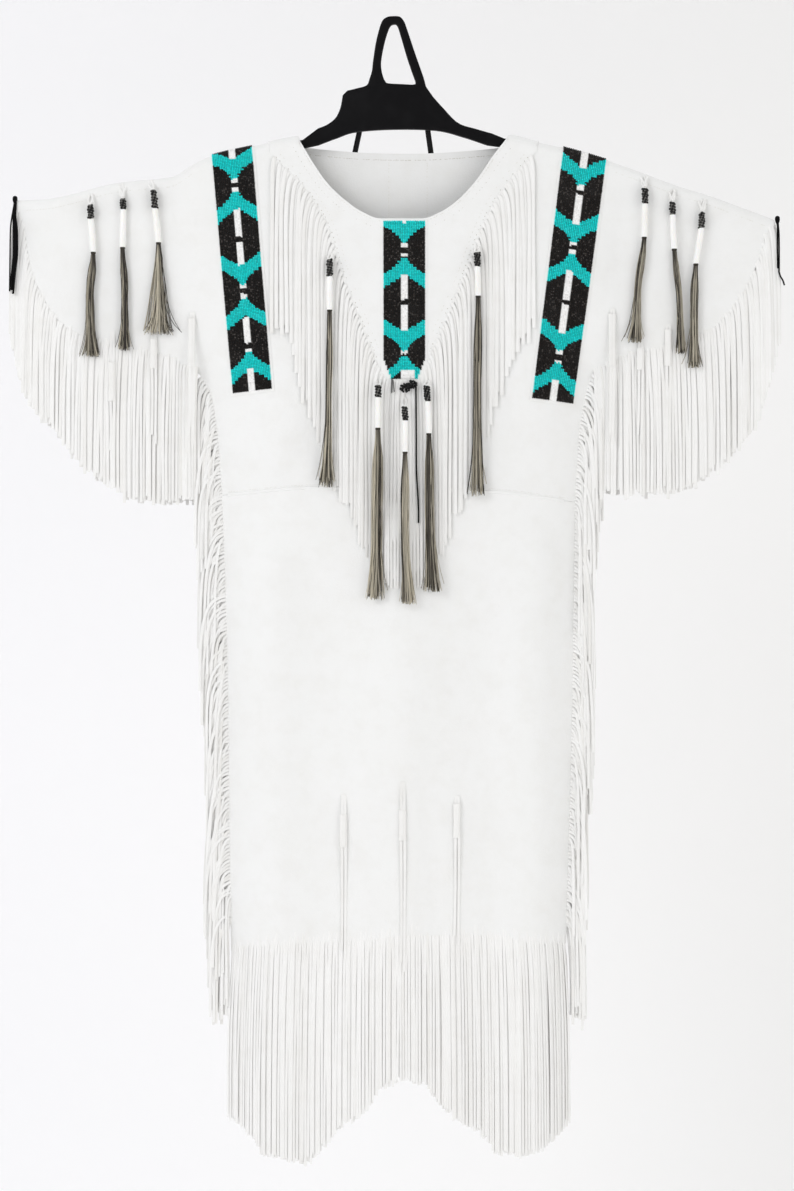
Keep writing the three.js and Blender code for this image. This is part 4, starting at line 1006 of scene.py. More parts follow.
HIDE = Hide()
# Lighter than the dress's hide: painted light that offsets the shade among fringe strands. Thongs, strings,
# rolls and the strip backing share it.
FRINGE_HIDE_PAINTED_LIGHT = Hide("buckskin_fringe", colour=(0.925, 0.92, 0.905, 1.0), mottle=0.08, bump_depth=0.00022,
                   sheen=0.2)
BEADS = Glass()
# The ground between beads: thread colours, and painted shade in the gaps between turquoise beads.
GROUND = Glass("bead_threads", "beadwork", 0.7, 0.05)
THREAD = Plain("sinew_thread", "buckskin", (0.82, 0.81, 0.77, 1), (0.68, 0.66, 0.60, 1), 0.6, specular=0.3)
# Grey for punched and stitch holes: painted shade standing for the dark inside the holes, laid on the cloth
# as small raised grains.
PAINTED_HOLE_SHADE = Plain("punched_holes", "buckskin", (0.66, 0.64, 0.59, 1), (0.46, 0.44, 0.39, 1), 0.85, specular=0.1)
TUBE = Plain("bone_tube", "buckskin", (0.965, 0.96, 0.94, 1), (0.89, 0.875, 0.82, 1), 0.36, 180.0, 0.12,
             specular=0.5, coat=0.15, subsurface=0.15)
WRAP = Plain("black_wrap", "hair", (0.002, 0.002, 0.002, 1), (0.010, 0.009, 0.009, 1), 0.24,
             bump_depth=0.00008, specular=0.3)
LINING = Plain("wrap_lining", "hair", (0.16, 0.155, 0.145, 1), (0.08, 0.076, 0.07, 1), 0.6, specular=0.2)
COLLAR = Plain("dark_collar", "hair", (0.03, 0.026, 0.02, 1), (0.07, 0.06, 0.045, 1), 0.6, specular=0.2)
THONG = Plain("waxed_thong", "black_thong", (0.003, 0.003, 0.0034, 1), (0.008, 0.0075, 0.0075, 1), 0.5,
              bump_strength=0.12, specular=0.06)
PLASTIC = Plain("moulded_plastic", "hanger", (0.0028, 0.0026, 0.0032, 1), (0.007, 0.0066, 0.0075, 1), 0.4,
                380.0, 0.2, 0.0003, specular=0.14)
HAIR = Hair()


# ---------------------------------------------------------------- cloth panels

@dataclass
class Panels:
    """The four hides that make the dress: yoke and skirt, front and back."""

    shop: Workshop
    columns: tuple = (
        (-491, -471, 14), (-471, -436, 9), (-436, -254, 30), (-254, -126, 22), (-126, -104, 7),
        (-104, 125, 38), (125, 148, 7), (148, 256, 18), (256, 440, 30), (440, 474, 9), (474, 492, 12),
    )
    fold_steps: int = 7
    drop_steps: int = 46
    body_steps: int = 22
    skirt_columns: int = 80
    skirt_rows: int = 80

    def column_places(self) -> Array:
        """Give the X of each of the yoke's columns."""
        runs = [np.linspace(a, b, n, endpoint=False) for a, b, n in self.columns]
        return np.concatenate([*runs, [self.columns[-1][1]]])

    def yoke_grid(self, face: Face) -> tuple[Array, Array]:
        """Give the yoke's inner face as a grid, and which of its nodes exist."""
        g = self.shop.garment
        x = self.column_places()
        top, foot = g.top(face, x), g.sleeve_foot(x)
        roll = np.minimum(FOLD_RADIUS, 0.4 * (top - foot))
        turn = np.linspace(0, math.pi / 2, self.fold_steps + 1)[:, None]
        rows = [top - roll * (1 - np.cos(turn))]
        rows.append(mix(top - roll, foot, np.linspace(0, 1, self.drop_steps + 1)[1:, None]))
        upper = np.concatenate(rows)
        right, left = SIDE_SEAM_R[0][1], SIDE_SEAM_L[0][1]
        share = (x - right) / (left - right)
        inside = (share >= 0) & (share <= 1)
        body_share = clamp01(share)
        seam = g.yoke_seam(g.width_at(body_share, YOKE_SEAM_Z)) + 0.15
        down = np.linspace(0, 1, self.body_steps + 1)[1:, None]
        lower = mix(UNDERARM_Z, seam, down)
        xs = np.concatenate([np.broadcast_to(x, upper.shape), g.width_at(body_share, lower)])
        zs = np.concatenate([upper, lower])
        valid = np.concatenate([np.ones(upper.shape, bool), np.broadcast_to(inside, lower.shape)])
        return g.place(face, xs, zs), valid

    def skirt_grid(self, face: Face) -> Array:
        """Give the skirt's inner face as a grid."""
        g = self.shop.garment
        share = np.linspace(0, 1, self.skirt_columns + 1)
        seam = g.yoke_seam(g.width_at(share, YOKE_SEAM_Z)) - 0.15
        hem = g.hem(g.width_at(share, HEM_Z))
        z = mix(seam, hem, np.linspace(0, 1, self.skirt_rows + 1)[:, None])
        return g.place(face, g.width_at(share, z), z)

    def build(self) -> None:
        """Make the four shells."""
        for face in Face:
            side = face.name.lower()
            grid, valid = self.yoke_grid(face)
            outer = grid + grid_normals(grid, face) * LEATHER
            yoke = piece(f"cloth_yoke_{side}", closed_mesh(*shell(grid, outer, valid)), HIDE)
            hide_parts(f"yoke_{side}")
            grid = self.skirt_grid(face)
            outer = grid + grid_normals(grid, face) * LEATHER
            skirt = piece(f"cloth_skirt_{side}", closed_mesh(*shell(grid, outer)), HIDE)
            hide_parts(f"skirt_{side}")


@dataclass
class Bib:
    """The pointed hide laid over the front from the shoulders to its tip."""

    shop: Workshop
    steps: int = 100
    rows: int = 54

    def foot(self, x: Array) -> Array:
        """Give the height of the bib's lower edge at each X."""
        g = self.shop.garment
        z = np.linspace(BIB_EDGE_R[0][0], BIB_POINT_Z, 400)
        right, left = g.bib_r(z), g.bib_l(z)
        fall = np.where(x < BIB_MIDDLE_X, np.interp(x, right, z), np.interp(-x, -left, z))
        return np.where((x > BIB_EDGE_R[-1][1]) & (x < BIB_EDGE_L[-1][1]), BIB_POINT_Z, fall)

    def build(self) -> None:
        """Make the bib as a shell above the yoke."""
        g = self.shop.garment
        x = np.linspace(-168, 190, self.steps + 1)
        top = g.top(Face.FRONT, x)
        drop = top - self.foot(x)
        x, top, drop = x[drop > 2], top[drop > 2], drop[drop > 2]
        share = np.linspace(0, 1, self.rows + 1)[:, None] ** 1.15
        z = top - drop * share
        grid = g.place(Face.FRONT, np.broadcast_to(x, z.shape), z)
        out = grid_normals(grid, Face.FRONT)
        made = piece("cloth_bib", closed_mesh(*shell(grid + out * BIB_LOW, grid + out * BIB_HIGH)), HIDE)
        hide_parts("bib")


# ---------------------------------------------------------------- beadwork

class Figure(Enum):
    """A motif of the bead strips, on a black ground."""

    CHEVRON_DOWN = "turquoise chevron with its tip down"
    CHEVRON_UP = "turquoise chevron with its tip up"
    BAR = "white bar along the middle"


@dataclass(frozen=True)
class Mark:
    """Where a motif begins and ends below the strip's upper edge."""

    figure: Figure
    start: float
    end: float = 0.0


DOWN, UP, BAR = Figure.CHEVRON_DOWN, Figure.CHEVRON_UP, Figure.BAR
CHART_R = (
    Mark(BAR, -22, 14), Mark(DOWN, 14), Mark(BAR, 39.5, 44.5), Mark(BAR, 51, 56.5), Mark(UP, 56.5),
    Mark(BAR, 79, 116), Mark(BAR, 122.5, 153), Mark(DOWN, 153), Mark(BAR, 178.5, 183.5),
    Mark(BAR, 190, 196), Mark(UP, 196), Mark(BAR, 221, 254), Mark(BAR, 261, 265), Mark(UP, 265),
    Mark(BAR, 287, 320),
)
CHART_L = (
    Mark(BAR, -22, 19.5), Mark(DOWN, 19.5), Mark(BAR, 43, 50), Mark(BAR, 54.5, 94), Mark(DOWN, 94),
    Mark(BAR, 118, 123), Mark(BAR, 128, 134), Mark(UP, 134), Mark(BAR, 156, 194.5), Mark(BAR, 199, 236),
    Mark(DOWN, 236), Mark(BAR, 259.5, 264), Mark(BAR, 272, 275), Mark(UP, 275), Mark(BAR, 298, 330),
)
CHART_M = (
    Mark(DOWN, 6), Mark(BAR, 32.5, 39), Mark(BAR, 46.5, 50.5), Mark(UP, 51.5), Mark(BAR, 72.5, 105.5),
    Mark(BAR, 112, 146), Mark(DOWN, 146), Mark(BAR, 171.5, 175.5), Mark(UP, 178),
)
BLACK = (0.0035, 0.0032, 0.0032, 1.0)
# Pale brown for a share of the black beads: painted glint, standing in for glints on the beads and the thread
# that shows between them.
PAINTED_GLINT = (0.056, 0.050, 0.046, 1.0)
TURQUOISE = (0.010, 0.76, 0.74, 1.0)
WHITE = (0.97, 0.962, 0.945, 1.0)
BLACK_THREAD = (0.042, 0.032, 0.026, 1.0)
# Dark turquoise under turquoise beads: painted shade in the gaps between them.
TURQUOISE_GAP_PAINTED_SHADE = (0.010, 0.40, 0.39, 1.0)
WHITE_THREAD = (0.93, 0.92, 0.90, 1.0)


@dataclass
class BeadStrip:
    """A strip of seed beads on a white backing, laid along a line of the dress."""

    shop: Workshop
    name: str
    outer: tuple[float, float, float, float]
    inner: tuple[float, float, float, float]
    chart: tuple[Mark, ...]
    height: float
    over_shoulder: bool
    beads_across: int = 24
    row_pitch: float = 1.95
    half_width: float = 26.5
    bar_reach: float = 4.4
    border: float = 2.8
    backing: float = 0.9
    wrap: float = 20.0
    seed: int = 3

    def place(self, share: Array, run: Array) -> tuple[Array, Array]:
        """Give X and Z by the share across and the share of the way up; above 1 is past the top."""
        ox, oz = mix(self.outer[0], self.outer[2], run), mix(self.outer[1], self.outer[3], run)
        ix, iz = mix(self.inner[0], self.inner[2], run), mix(self.inner[1], self.inner[3], run)
        return mix(ox, ix, share), mix(oz, iz, share)

    def surface(self, share: Array, run: Array) -> Array:
        """Give points on the cloth, over the fold and down the back where the strip goes on."""
        g = self.shop.garment
        x, z = self.place(share, run)
        if not self.over_shoulder:
            return g.place(Face.FRONT, x, z)
        crest = g.shoulder(x)
        behind = z > crest
        low = np.where(behind, 2 * crest - z, z)
        y = np.where(behind, g.depth(Face.BACK, x, low), -g.depth(Face.FRONT, x, low))
        return column(x, y, low)

    def dense(self, shares: Array) -> tuple[Array, Array]:
        """Give a dense grid of points and ways out, rows up the strip by places across."""
        run_top = 1.0
        if self.over_shoulder:
            x, z = self.place(np.array(0.5), np.array(1.0))
            slope = abs(self.outer[3] - self.outer[1])
            run_top = 1.0 + (float(self.shop.garment.shoulder(x) - z) + self.wrap) / slope
        near = np.linspace(0, 0.93, 140, endpoint=False)
        run = np.concatenate([near, np.linspace(0.93, run_top, 260)])[:, None]
        grid = self.surface(np.broadcast_to(shares, (len(run), len(shares))), run)
        out = grid_normals(grid, Face.FRONT)
        return grid, out

    def rows_of(self, grid: Array, out: Array, steps: Array) -> tuple[Array, Array]:
        """Pick points at the beads' height, and ways out, at even lengths up the strip."""
        lines = grid + out * self.height
        runs = travelled(lines)
        columns = range(grid.shape[1])
        picked = [resample(lines[:, c], runs[:, c], steps) for c in columns]
        ways = [resample(out[:, c], runs[:, c], steps) for c in columns]
        return np.stack(picked, 1), unit(np.stack(ways, 1))

    def length(self, grid: Array, out: Array) -> float:
        """Give the strip's length along its middle."""
        return float(travelled((grid + out * self.height)[:, grid.shape[1] // 2])[-1])

    def front_length(self) -> float:
        """Give the length from the foot to the upper edge on the front."""
        x, z = self.place(np.array(0.5), np.array([0.0, 1.0]))
        crest = float(self.shop.garment.shoulder(x[1])) if self.over_shoulder else z[1]
        return float(crest - z[0]) * 1.012

    def keeps(self, across: Array, below: Array) -> Array:
        """Say which beads the strip's outline holds."""
        return np.ones(np.broadcast(across, below).shape, bool)

    def tone(self, across: Array, below: Array, step: Array) -> Array:
        """Give 0 for black, 1 for turquoise and 2 for white at places of the strip.

        Args:
            across: Distance from the middle, signed.
            below: Distance below the upper edge.
            step: How far every other row shifts the edges of the chevrons.

        Returns:
            The tone numbers.
        """
        u = np.abs(across + step) / self.half_width
        arm = clamp01((u - 0.16) / 0.84)
        tone = np.zeros(np.broadcast(u, below).shape, int)
        for mark in self.chart:
            v = below - mark.start
            if mark.figure is Figure.CHEVRON_DOWN:
                tone = np.where((v >= -15.5 * u ** 1.15) & (v < 26 - 21 * arm ** 0.48), 1, tone)
            elif mark.figure is Figure.CHEVRON_UP:
                tone = np.where((v >= 21 * arm ** 0.62) & (v < 22.5 + 17 * u ** 1.1), 1, tone)
        for mark in self.chart:
            if mark.figure is Figure.BAR:
                inside = (below >= mark.start) & (below < mark.end) & (np.abs(across) < self.bar_reach)
                tone = np.where(inside, 2, tone)
        return tone

    def build(self) -> None:
        """Make the backing, the dark ground and the beads."""
        rng = np.random.default_rng(self.seed)
        count = self.beads_across
        shares = (np.arange(count) + 0.5) / count
        grid, out = self.dense(shares)
        total = self.length(grid, out)
        steps = np.arange(self.row_pitch * 0.8, total - 0.8, self.row_pitch)
        points, ways = self.rows_of(grid, out, steps)
        lie = unit(np.gradient(points, axis=1))
        below = self.front_length() - steps[:, None]
        half = np.linalg.norm(points[0, -1] - points[0, 0]) / 2 * (count / (count - 1))
        across = (shares - 0.5)[None, :] * 2 * half
        keep = self.keeps(across, below)
        ragged = below + rng.uniform(-0.5, 0.5, keep.shape)
        step = np.where(np.arange(len(steps)) % 2 == 0, 1.0, -1.0)[:, None] * 0.9 * np.sign(across)
        tone = self.tone(across, ragged, step)
        tint = np.array([BLACK, TURQUOISE, WHITE])[tone]
        tint = np.clip(tint * rng.uniform(0.82, 1.14, tone.shape)[..., None], 0, 1)
        # Painted glint: about one black bead in six is tinted pale brown, standing in for glints and the
        # thread specks between beads.
        painted_glint = (tone == 0) & (rng.uniform(0, 1, tone.shape) < 0.16)
        tint[painted_glint] = np.array(PAINTED_GLINT) * rng.uniform(0.5, 1.3, (int(painted_glint.sum()), 1))
        tint[..., 3] = 1.0
        drift = rng.normal(0, 0.06, points.shape)
        guide = point_guide((points + drift + ways * 0.45)[keep], lie[keep], ways[keep], tint[keep])
        beads = self.shop.grains(
            f"beads_{self.name}", guide, BEADS, (1.13, 1.12), (6, 3), 0.06, 0.1, self.seed)
        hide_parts(f"bead_strip_{self.name}")
        self.build_backing(half, total)
        # Thread colour under black and white beads; under turquoise beads a dark turquoise, painted shade in
        # the gaps.
        under = np.array([BLACK_THREAD, TURQUOISE_GAP_PAINTED_SHADE, WHITE_THREAD])[tone]
        self.build_ground(points, ways, keep, under, 0.12 + 0.7 * (tone == 2))

    def build_ground(self, points: Array, ways: Array, keep: Array, under: Array, rise: Array) -> None:
        """Make the coloured threads between the beads, with painted shade under the turquoise ones.

        Args:
            points: Places of the beads.
            ways: Ways out at the beads.
            keep: Which beads are there.
            under: Colour under each bead: thread colour, or painted shade under turquoise beads.
            rise: How far the ground comes up between the beads.
        """
        mesh = closed_mesh(*shell(points - ways * 0.3, points + ways * rise[..., None], keep))
        used = np.zeros(keep.shape, bool)
        cell = keep[:-1, :-1] & keep[1:, :-1] & keep[:-1, 1:] & keep[1:, 1:]
        for rows in (slice(0, -1), slice(1, None)):
            for columns in (slice(0, -1), slice(1, None)):
                used[rows, columns] |= cell
        store(mesh, "tint", "FLOAT_COLOR", np.concatenate([under[used], under[used]]))
        piece(f"strip_ground_{self.name}", mesh, GROUND)

    def build_backing(self, half: float, total: float) -> None:
        """Make the white backing under the beads, which shows as a border beside and below them."""
        edge = self.border / (2 * half)
        grid, out = self.dense(np.linspace(-edge, 1 + edge, 13))
        points, ways = self.rows_of(grid, out, np.linspace(0.0, total - 0.2, 90))
        foot = points[:1] - unit(points[1] - points[0]) * self.border
        points, ways = np.concatenate([foot, points]), np.concatenate([ways[:1], ways])
        solid = shell(points - ways * self.backing, points - ways * 0.1)
        piece(f"strip_backing_{self.name}", closed_mesh(*solid), FRINGE_HIDE_PAINTED_LIGHT)


@dataclass
class CentreStrip(BeadStrip):
    """The middle strip, whose foot is bevelled and ends in a white block."""

    bevel: float = 26.0

    def keeps(self, across: Array, below: Array) -> Array:
        """Cut the foot's corners off."""
        rise = self.front_length() - below
        room = 27.0 - 10.0 * clamp01((self.bevel - rise) / self.bevel)
        return np.abs(across) <= room

    def tone(self, across: Array, below: Array, step: Array) -> Array:
        """Add the white dot at the top and the block and dark steps at the foot."""
        tone = super().tone(across, below, step)
        tone = np.where((below < 7.0), 1, tone)
        tone = np.where((below < 6.0) & (np.abs(across) < 2.4), 2, tone)
        foot = self.front_length() - below
        tone = np.where((foot < 10.5) & (across < -2) & (foot < (across + 17) * 0.9), 0, tone)
        tone = np.where((foot < 12.0) & (across > -3.5) & (across < 14.5), 2, tone)
        return tone


# ---------------------------------------------------------------- fringe

@dataclass
class Strands:
    """Hanging strands: where each starts, how it leaves the edge, and where it ends."""

    roots: Array
    leave: Array
    tips: Array
    reach: float = 10.0
    steps: int = 13
    sway: float = 1.2
    fall: float = 0.72

    def paths(self, rng: np.random.Generator) -> Array:
        """Give every strand's path, bent at the root and then hanging.

        Args:
            rng: Source of the small differences between strands.

        Returns:
            Points, strands by steps by XYZ.
        """
        t = (np.linspace(0, 1, self.steps) ** 1.5)[None, :, None]
        count = len(self.roots)
        drop = np.linalg.norm(self.tips - self.roots, axis=1)[:, None]
        first = self.roots + self.leave * self.reach
        second = self.tips + column(0.0, 0.0, 1.0) * drop * self.fall
        p0, p1, p2, p3 = (p[:, None, :] for p in (self.roots, first, second, self.tips))
        paths = (1 - t) ** 3 * p0 + 3 * (1 - t) ** 2 * t * p1 + 3 * (1 - t) * t * t * p2 + t ** 3 * p3
        phase = rng.uniform(0, 2 * math.pi, (count, 1))
        turns = rng.uniform(0.5, 1.4, (count, 1))
        size = rng.uniform(0.3, 1.0, (count, 1)) * self.sway
        s = t[None, 0, :, 0]
        paths[..., 0] += size * (np.sin(2 * math.pi * turns * s + phase) - np.sin(phase)) * ease(3 * s)
        return paths

    @staticmethod
    def flat_sides(paths: Array, out: float, rng: np.random.Generator, twist: float,
                   facing: Array | float = 0.0) -> Array:
        """Turn each strand's flat side a little about its length.

        Args:
            paths: The strands.
            out: Sign of the way out along Y.
            rng: Source of the small differences.
            twist: Most that a strand turns, in radians.
            facing: Turn of each whole strand from straight out, in radians.

        Returns:
            The way that the flat side faces at each point.
        """
        count, steps = paths.shape[:2]
        start = rng.normal(0, twist * 0.35, (count, 1))
        gain = rng.normal(0, twist, (count, 1))
        angle = (start + gain * np.linspace(0, 1, steps)[None, :]) * ease(np.linspace(0, 6, steps))[None, :]
        angle = angle + facing
        return column(np.sin(angle), out * np.cos(angle), 0.0)


@dataclass
class Fringe:
    """Fringe cut in strands from an edge of the dress; each kind gives its own edge and ends."""

    shop: Workshop
    seed: int = 11
    width: float = 4.0
    thickness: float = 0.8
    twist: float = 0.16
    outer_share: float = 0.5
    unlike: float = 0.10

    def sweep(self, name: str, paths: Array, out: float, rng: np.random.Generator, *nodes: str,
              scale: Array | float = 1.0, facing: Array | float = 0.0) -> None:
        """Make the strands of one fringe as a piece.

        Args:
            name: Name of the piece.
            paths: Its strands.
            out: Sign of the way out along Y.
            rng: Source of the small differences.
            *nodes: CAD nodes that it stands for.
            scale: Size of each strand as a share of the fringe's own.
            facing: Turn of each strand from straight out.
        """
        count, steps = paths.shape[:2]
        flat = Strands.flat_sides(paths, out, rng, self.twist, facing)
        lining = np.where(np.arange(count)[:, None] < count * self.outer_share, 1.0, 1.22)
        taper = np.linspace(1.0, 0.93, steps)[None, :]
        breadth = rng.uniform(0.94, 1.04, (count, 1)) * lining * scale * taper
        shade = np.clip(rng.normal(0.06, self.unlike, (count, 1)), 0, 0.5) * np.ones((1, steps))
        guide = path_guide(paths, flat, breadth, shade)
        made = self.shop.cords(name, guide, FRINGE_HIDE_PAINTED_LIGHT, self.width, self.thickness * 1.15, 6)
        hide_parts(*nodes)


@dataclass
class SleeveFringe(Fringe):
    """Fringe along the open edges of the cape sleeves, front and back."""

    pitch: float = 4.1
    width: float = 4.3
    unlike: float = 0.13
    ends_r: tuple = (
        (-506, -389), (-495, -422), (-488, -452), (-478, -486), (-459, -511), (-443, -524), (-422, -554),
        (-391, -586), (-361, -602), (-346, -615), (-307, -621), (-250, -618),
    )
    ends_l: tuple = (
        (250, -600), (267, -608), (343, -608), (376, -604), (411, -582), (428, -569), (443, -554),
        (463, -528), (473, -511), (480, -486), (489, -454), (502, -394),
    )

    def edge(self, tag: str, start: float) -> Array:
        """Give places along one sleeve's lower edge, wider apart where it is steep."""
        g = self.shop.garment
        x = np.linspace(-255, -490.5, 900) if tag == "r" else np.linspace(257, 491.5, 900)
        z = g.sleeve_foot(x)
        run = travelled(np.stack([x, 0.45 * z], -1))
        steps = np.arange(start * self.pitch, run[-1], self.pitch)
        return resample(np.stack([x, z], -1), run, steps)

    def layer(self, tag: str, face: Face, depth: int, rng: np.random.Generator) -> Array:
        """Give the strands of one layer of one sleeve; depth 0 is the outer one."""
        g = self.shop.garment
        side = -1.0 if tag == "r" else 1.0
        places = self.edge(tag, 0.5 if depth == 0 else 1.0)
        count = len(places)
        x, z = places[:, 0] + rng.normal(0, 0.2, count), places[:, 1]
        tangent = unit(np.gradient(places, axis=0))
        away = np.stack([tangent[:, 1] * side, np.zeros(count), -tangent[:, 0] * side], -1)
        roots = g.place(face, x, z + rng.uniform(1.5, 9.0, count), 1.35 - 1.1 * depth)
        roots[:, 1] = face.value * np.maximum(np.abs(roots[:, 1]), 1.2)
        foot = Profile(self.ends_r if tag == "r" else self.ends_l)
        share = (np.abs(places[:, 0]) - 254) / 238
        tip_x = places[:, 0] + side * (1.5 + 8 * share) + rng.normal(0, 0.6, count)
        tip_z = foot(tip_x) + rng.normal(0, 4.0, count) + 3 * depth
        hang = np.maximum(np.abs(roots[:, 1]), SLEEVE_HANG) + rng.normal(0, 0.22, count) - 0.7 * depth
        tips = column(tip_x, face.value * hang, tip_z)
        leave = unit(away + column(0.0, 0.35 * face.value, -0.45))
        return Strands(roots, leave, tips, 9.0, 11, 0.9).paths(rng)

    def build(self) -> None:
        """Make the four sleeve fringes, each in two layers."""
        for number, (tag, face) in enumerate((t, f) for t in "rl" for f in Face):
            rng = np.random.default_rng(self.seed + number)
            paths = np.concatenate([self.layer(tag, face, depth, rng) for depth in (0, 1)])
            self.sweep(f"fringe_strands_sleeve_{tag}_{face.name.lower()}", paths,
                       float(face.value), rng, f"fringe_sleeve_{tag}_{face.name.lower()}")


@dataclass
class BibFringe(Fringe):
    """Fringe along both slanting edges of the bib."""

    pitch: float = 6.3
    width: float = 5.5
    thickness: float = 1.1
    unlike: float = 0.13
    ends_r: tuple = (
        (-166, -412), (-150, -404), (-138, -413), (-127, -455), (-112, -507), (-95, -560), (-81, -603),
        (-61, -629), (-41, -686), (-12, -728), (10, -740),
    )
    ends_l: tuple = (
        (10, -740), (28, -731), (64, -684), (77, -646), (92, -612), (112, -570), (127, -507), (140, -471),
        (153, -439), (169, -416), (186, -368),
    )

    def hangs(self, side: float, start: float) -> Array:
        """Give the X of each hanging strand of one layer, closer together towards the point."""
        places, x = [], (-159.0 if side < 0 else 179.0) - side * start
        while (BIB_MIDDLE_X - x) * side < 0:
            places.append(x)
            x -= side * self.pitch * self.closeness(x)
        return np.array(places)

    @staticmethod
    def closeness(x: Array | float) -> Array:
        """Give the strands' share of their full width and pitch, least at the bib's point."""
        return mix(1.0, 0.66, clamp01(1 - np.abs(x - BIB_MIDDLE_X) / 165))

    def layer(self, tag: str, depth: int, rng: np.random.Generator) -> Array:
        """Give the strands of one layer of one side; depth 0 is the outer one."""
        g = self.shop.garment
        side = -1.0 if tag == "r" else 1.0
        edge = g.bib_r if tag == "r" else g.bib_l
        z_line = np.linspace(-172, BIB_POINT_Z, 600)
        x_line = edge(z_line)
        hang = self.hangs(side, 0.3 if depth == 0 else 0.5 * self.pitch)
        reach = np.abs(hang - BIB_MIDDLE_X)
        bend = 1.5 + 5.5 * ease((175 - reach) / 30) * ease(reach / 60)
        root_x = hang - side * bend
        root_z = np.interp(-side * root_x, -side * x_line, z_line) + rng.normal(0, 0.8, len(hang))
        foot = Profile(self.ends_r if tag == "r" else self.ends_l)
        tip_x = hang + rng.normal(0, 0.9, len(hang))
        tip_z = foot(tip_x) + rng.normal(0, 4.5, len(hang)) + 14 * depth
        roots = column(root_x - side * 2.0, 0.0, root_z + 2.0)
        leave = unit(column(side * 1.0, 0.0, -0.55))[None] * (bend[:, None] * 1.5 + 3)
        strands = Strands(roots, leave, column(tip_x, 0.0, tip_z), 1.0, 15, 1.0)
        paths = strands.paths(rng)
        t = np.linspace(0, 5, paths.shape[1])[None, :]
        base = BIB_LOW + 2.2 - 1.3 * depth
        waver = rng.uniform(0.0, 0.7, (len(hang), 1)) * ease(t)
        paths[..., 1] = -(g.forward(paths[..., 0], paths[..., 2], base) + waver + 0.5 * ease(t))
        return paths

    def build(self) -> None:
        """Make both sides, each in two layers."""
        for number, tag in enumerate("rl"):
            rng = np.random.default_rng(self.seed + 20 + number)
            paths = np.concatenate([self.layer(tag, depth, rng) for depth in (0, 1)])
            self.sweep(f"fringe_strands_bib_{tag}", paths, -1.0, rng, f"fringe_bib_{tag}",
                       scale=self.closeness(paths[:, -1:, 0]))


@dataclass
class SideFringe(Fringe):
    """Fringe let into the side seams, arching out and falling in overlapping rows."""

    pitch: float = 4.7
    length: float = 150.0
    width: float = 3.8
    outer_share: float = 1.0
    unlike: float = 0.22

    def build(self) -> None:
        """Make both sides, each with a front and a back leaf."""
        g = self.shop.garment
        for number, tag in enumerate("rl"):
            rng = np.random.default_rng(self.seed + 40 + number)
            side = -1.0 if tag == "r" else 1.0
            seam = g.seam_r if tag == "r" else g.seam_l
            fan = 30.0 if tag == "r" else 24.0
            leaves = []
            for leaf, (depth, start) in enumerate(((-1.2, 0.0), (1.2, 1.6), (-2.4, 3.1))):
                z = np.arange(-458 - start, -1168, -self.pitch) + rng.normal(0, 0.6, 1)
                x = seam(z)
                near = np.clip((UNDERARM_Z - z) / 60, 0, 1)
                high = clamp01((z + 1170) / 140)
                spread = rng.uniform(mix(0.05, 0.32, high), mix(0.8, 1.0, high)) * fan * mix(0.75, 1.0, near)
                drop = self.length * rng.uniform(0.82, 1.06, len(z)) * mix(1.1, 1.0, near)
                wave = 5 * np.sin(z / 61 + number * 2) + 3 * np.sin(z / 23 + leaf)
                roots = column(x - side * 1.5, depth * 0.5, z)
                tips = column(x + side * (spread + wave * 0.5), depth * 2.2 + rng.normal(0, 2.4, len(z)),
                              np.maximum(z - drop, -1292 + rng.normal(0, 6, len(z))))
                lean = rng.uniform(0.12, 0.5, len(z))
                leave = unit(column(side, depth * 0.25, -lean))
                strands = Strands(roots, leave * (spread * 0.8 + 5)[:, None], tips, 1.0, 12, 1.2, 0.85)
                leaves.append(strands.paths(rng))
            self.sweep(f"fringe_strands_side_{tag}", np.concatenate(leaves), -1.0, rng, f"fringe_side_{tag}")


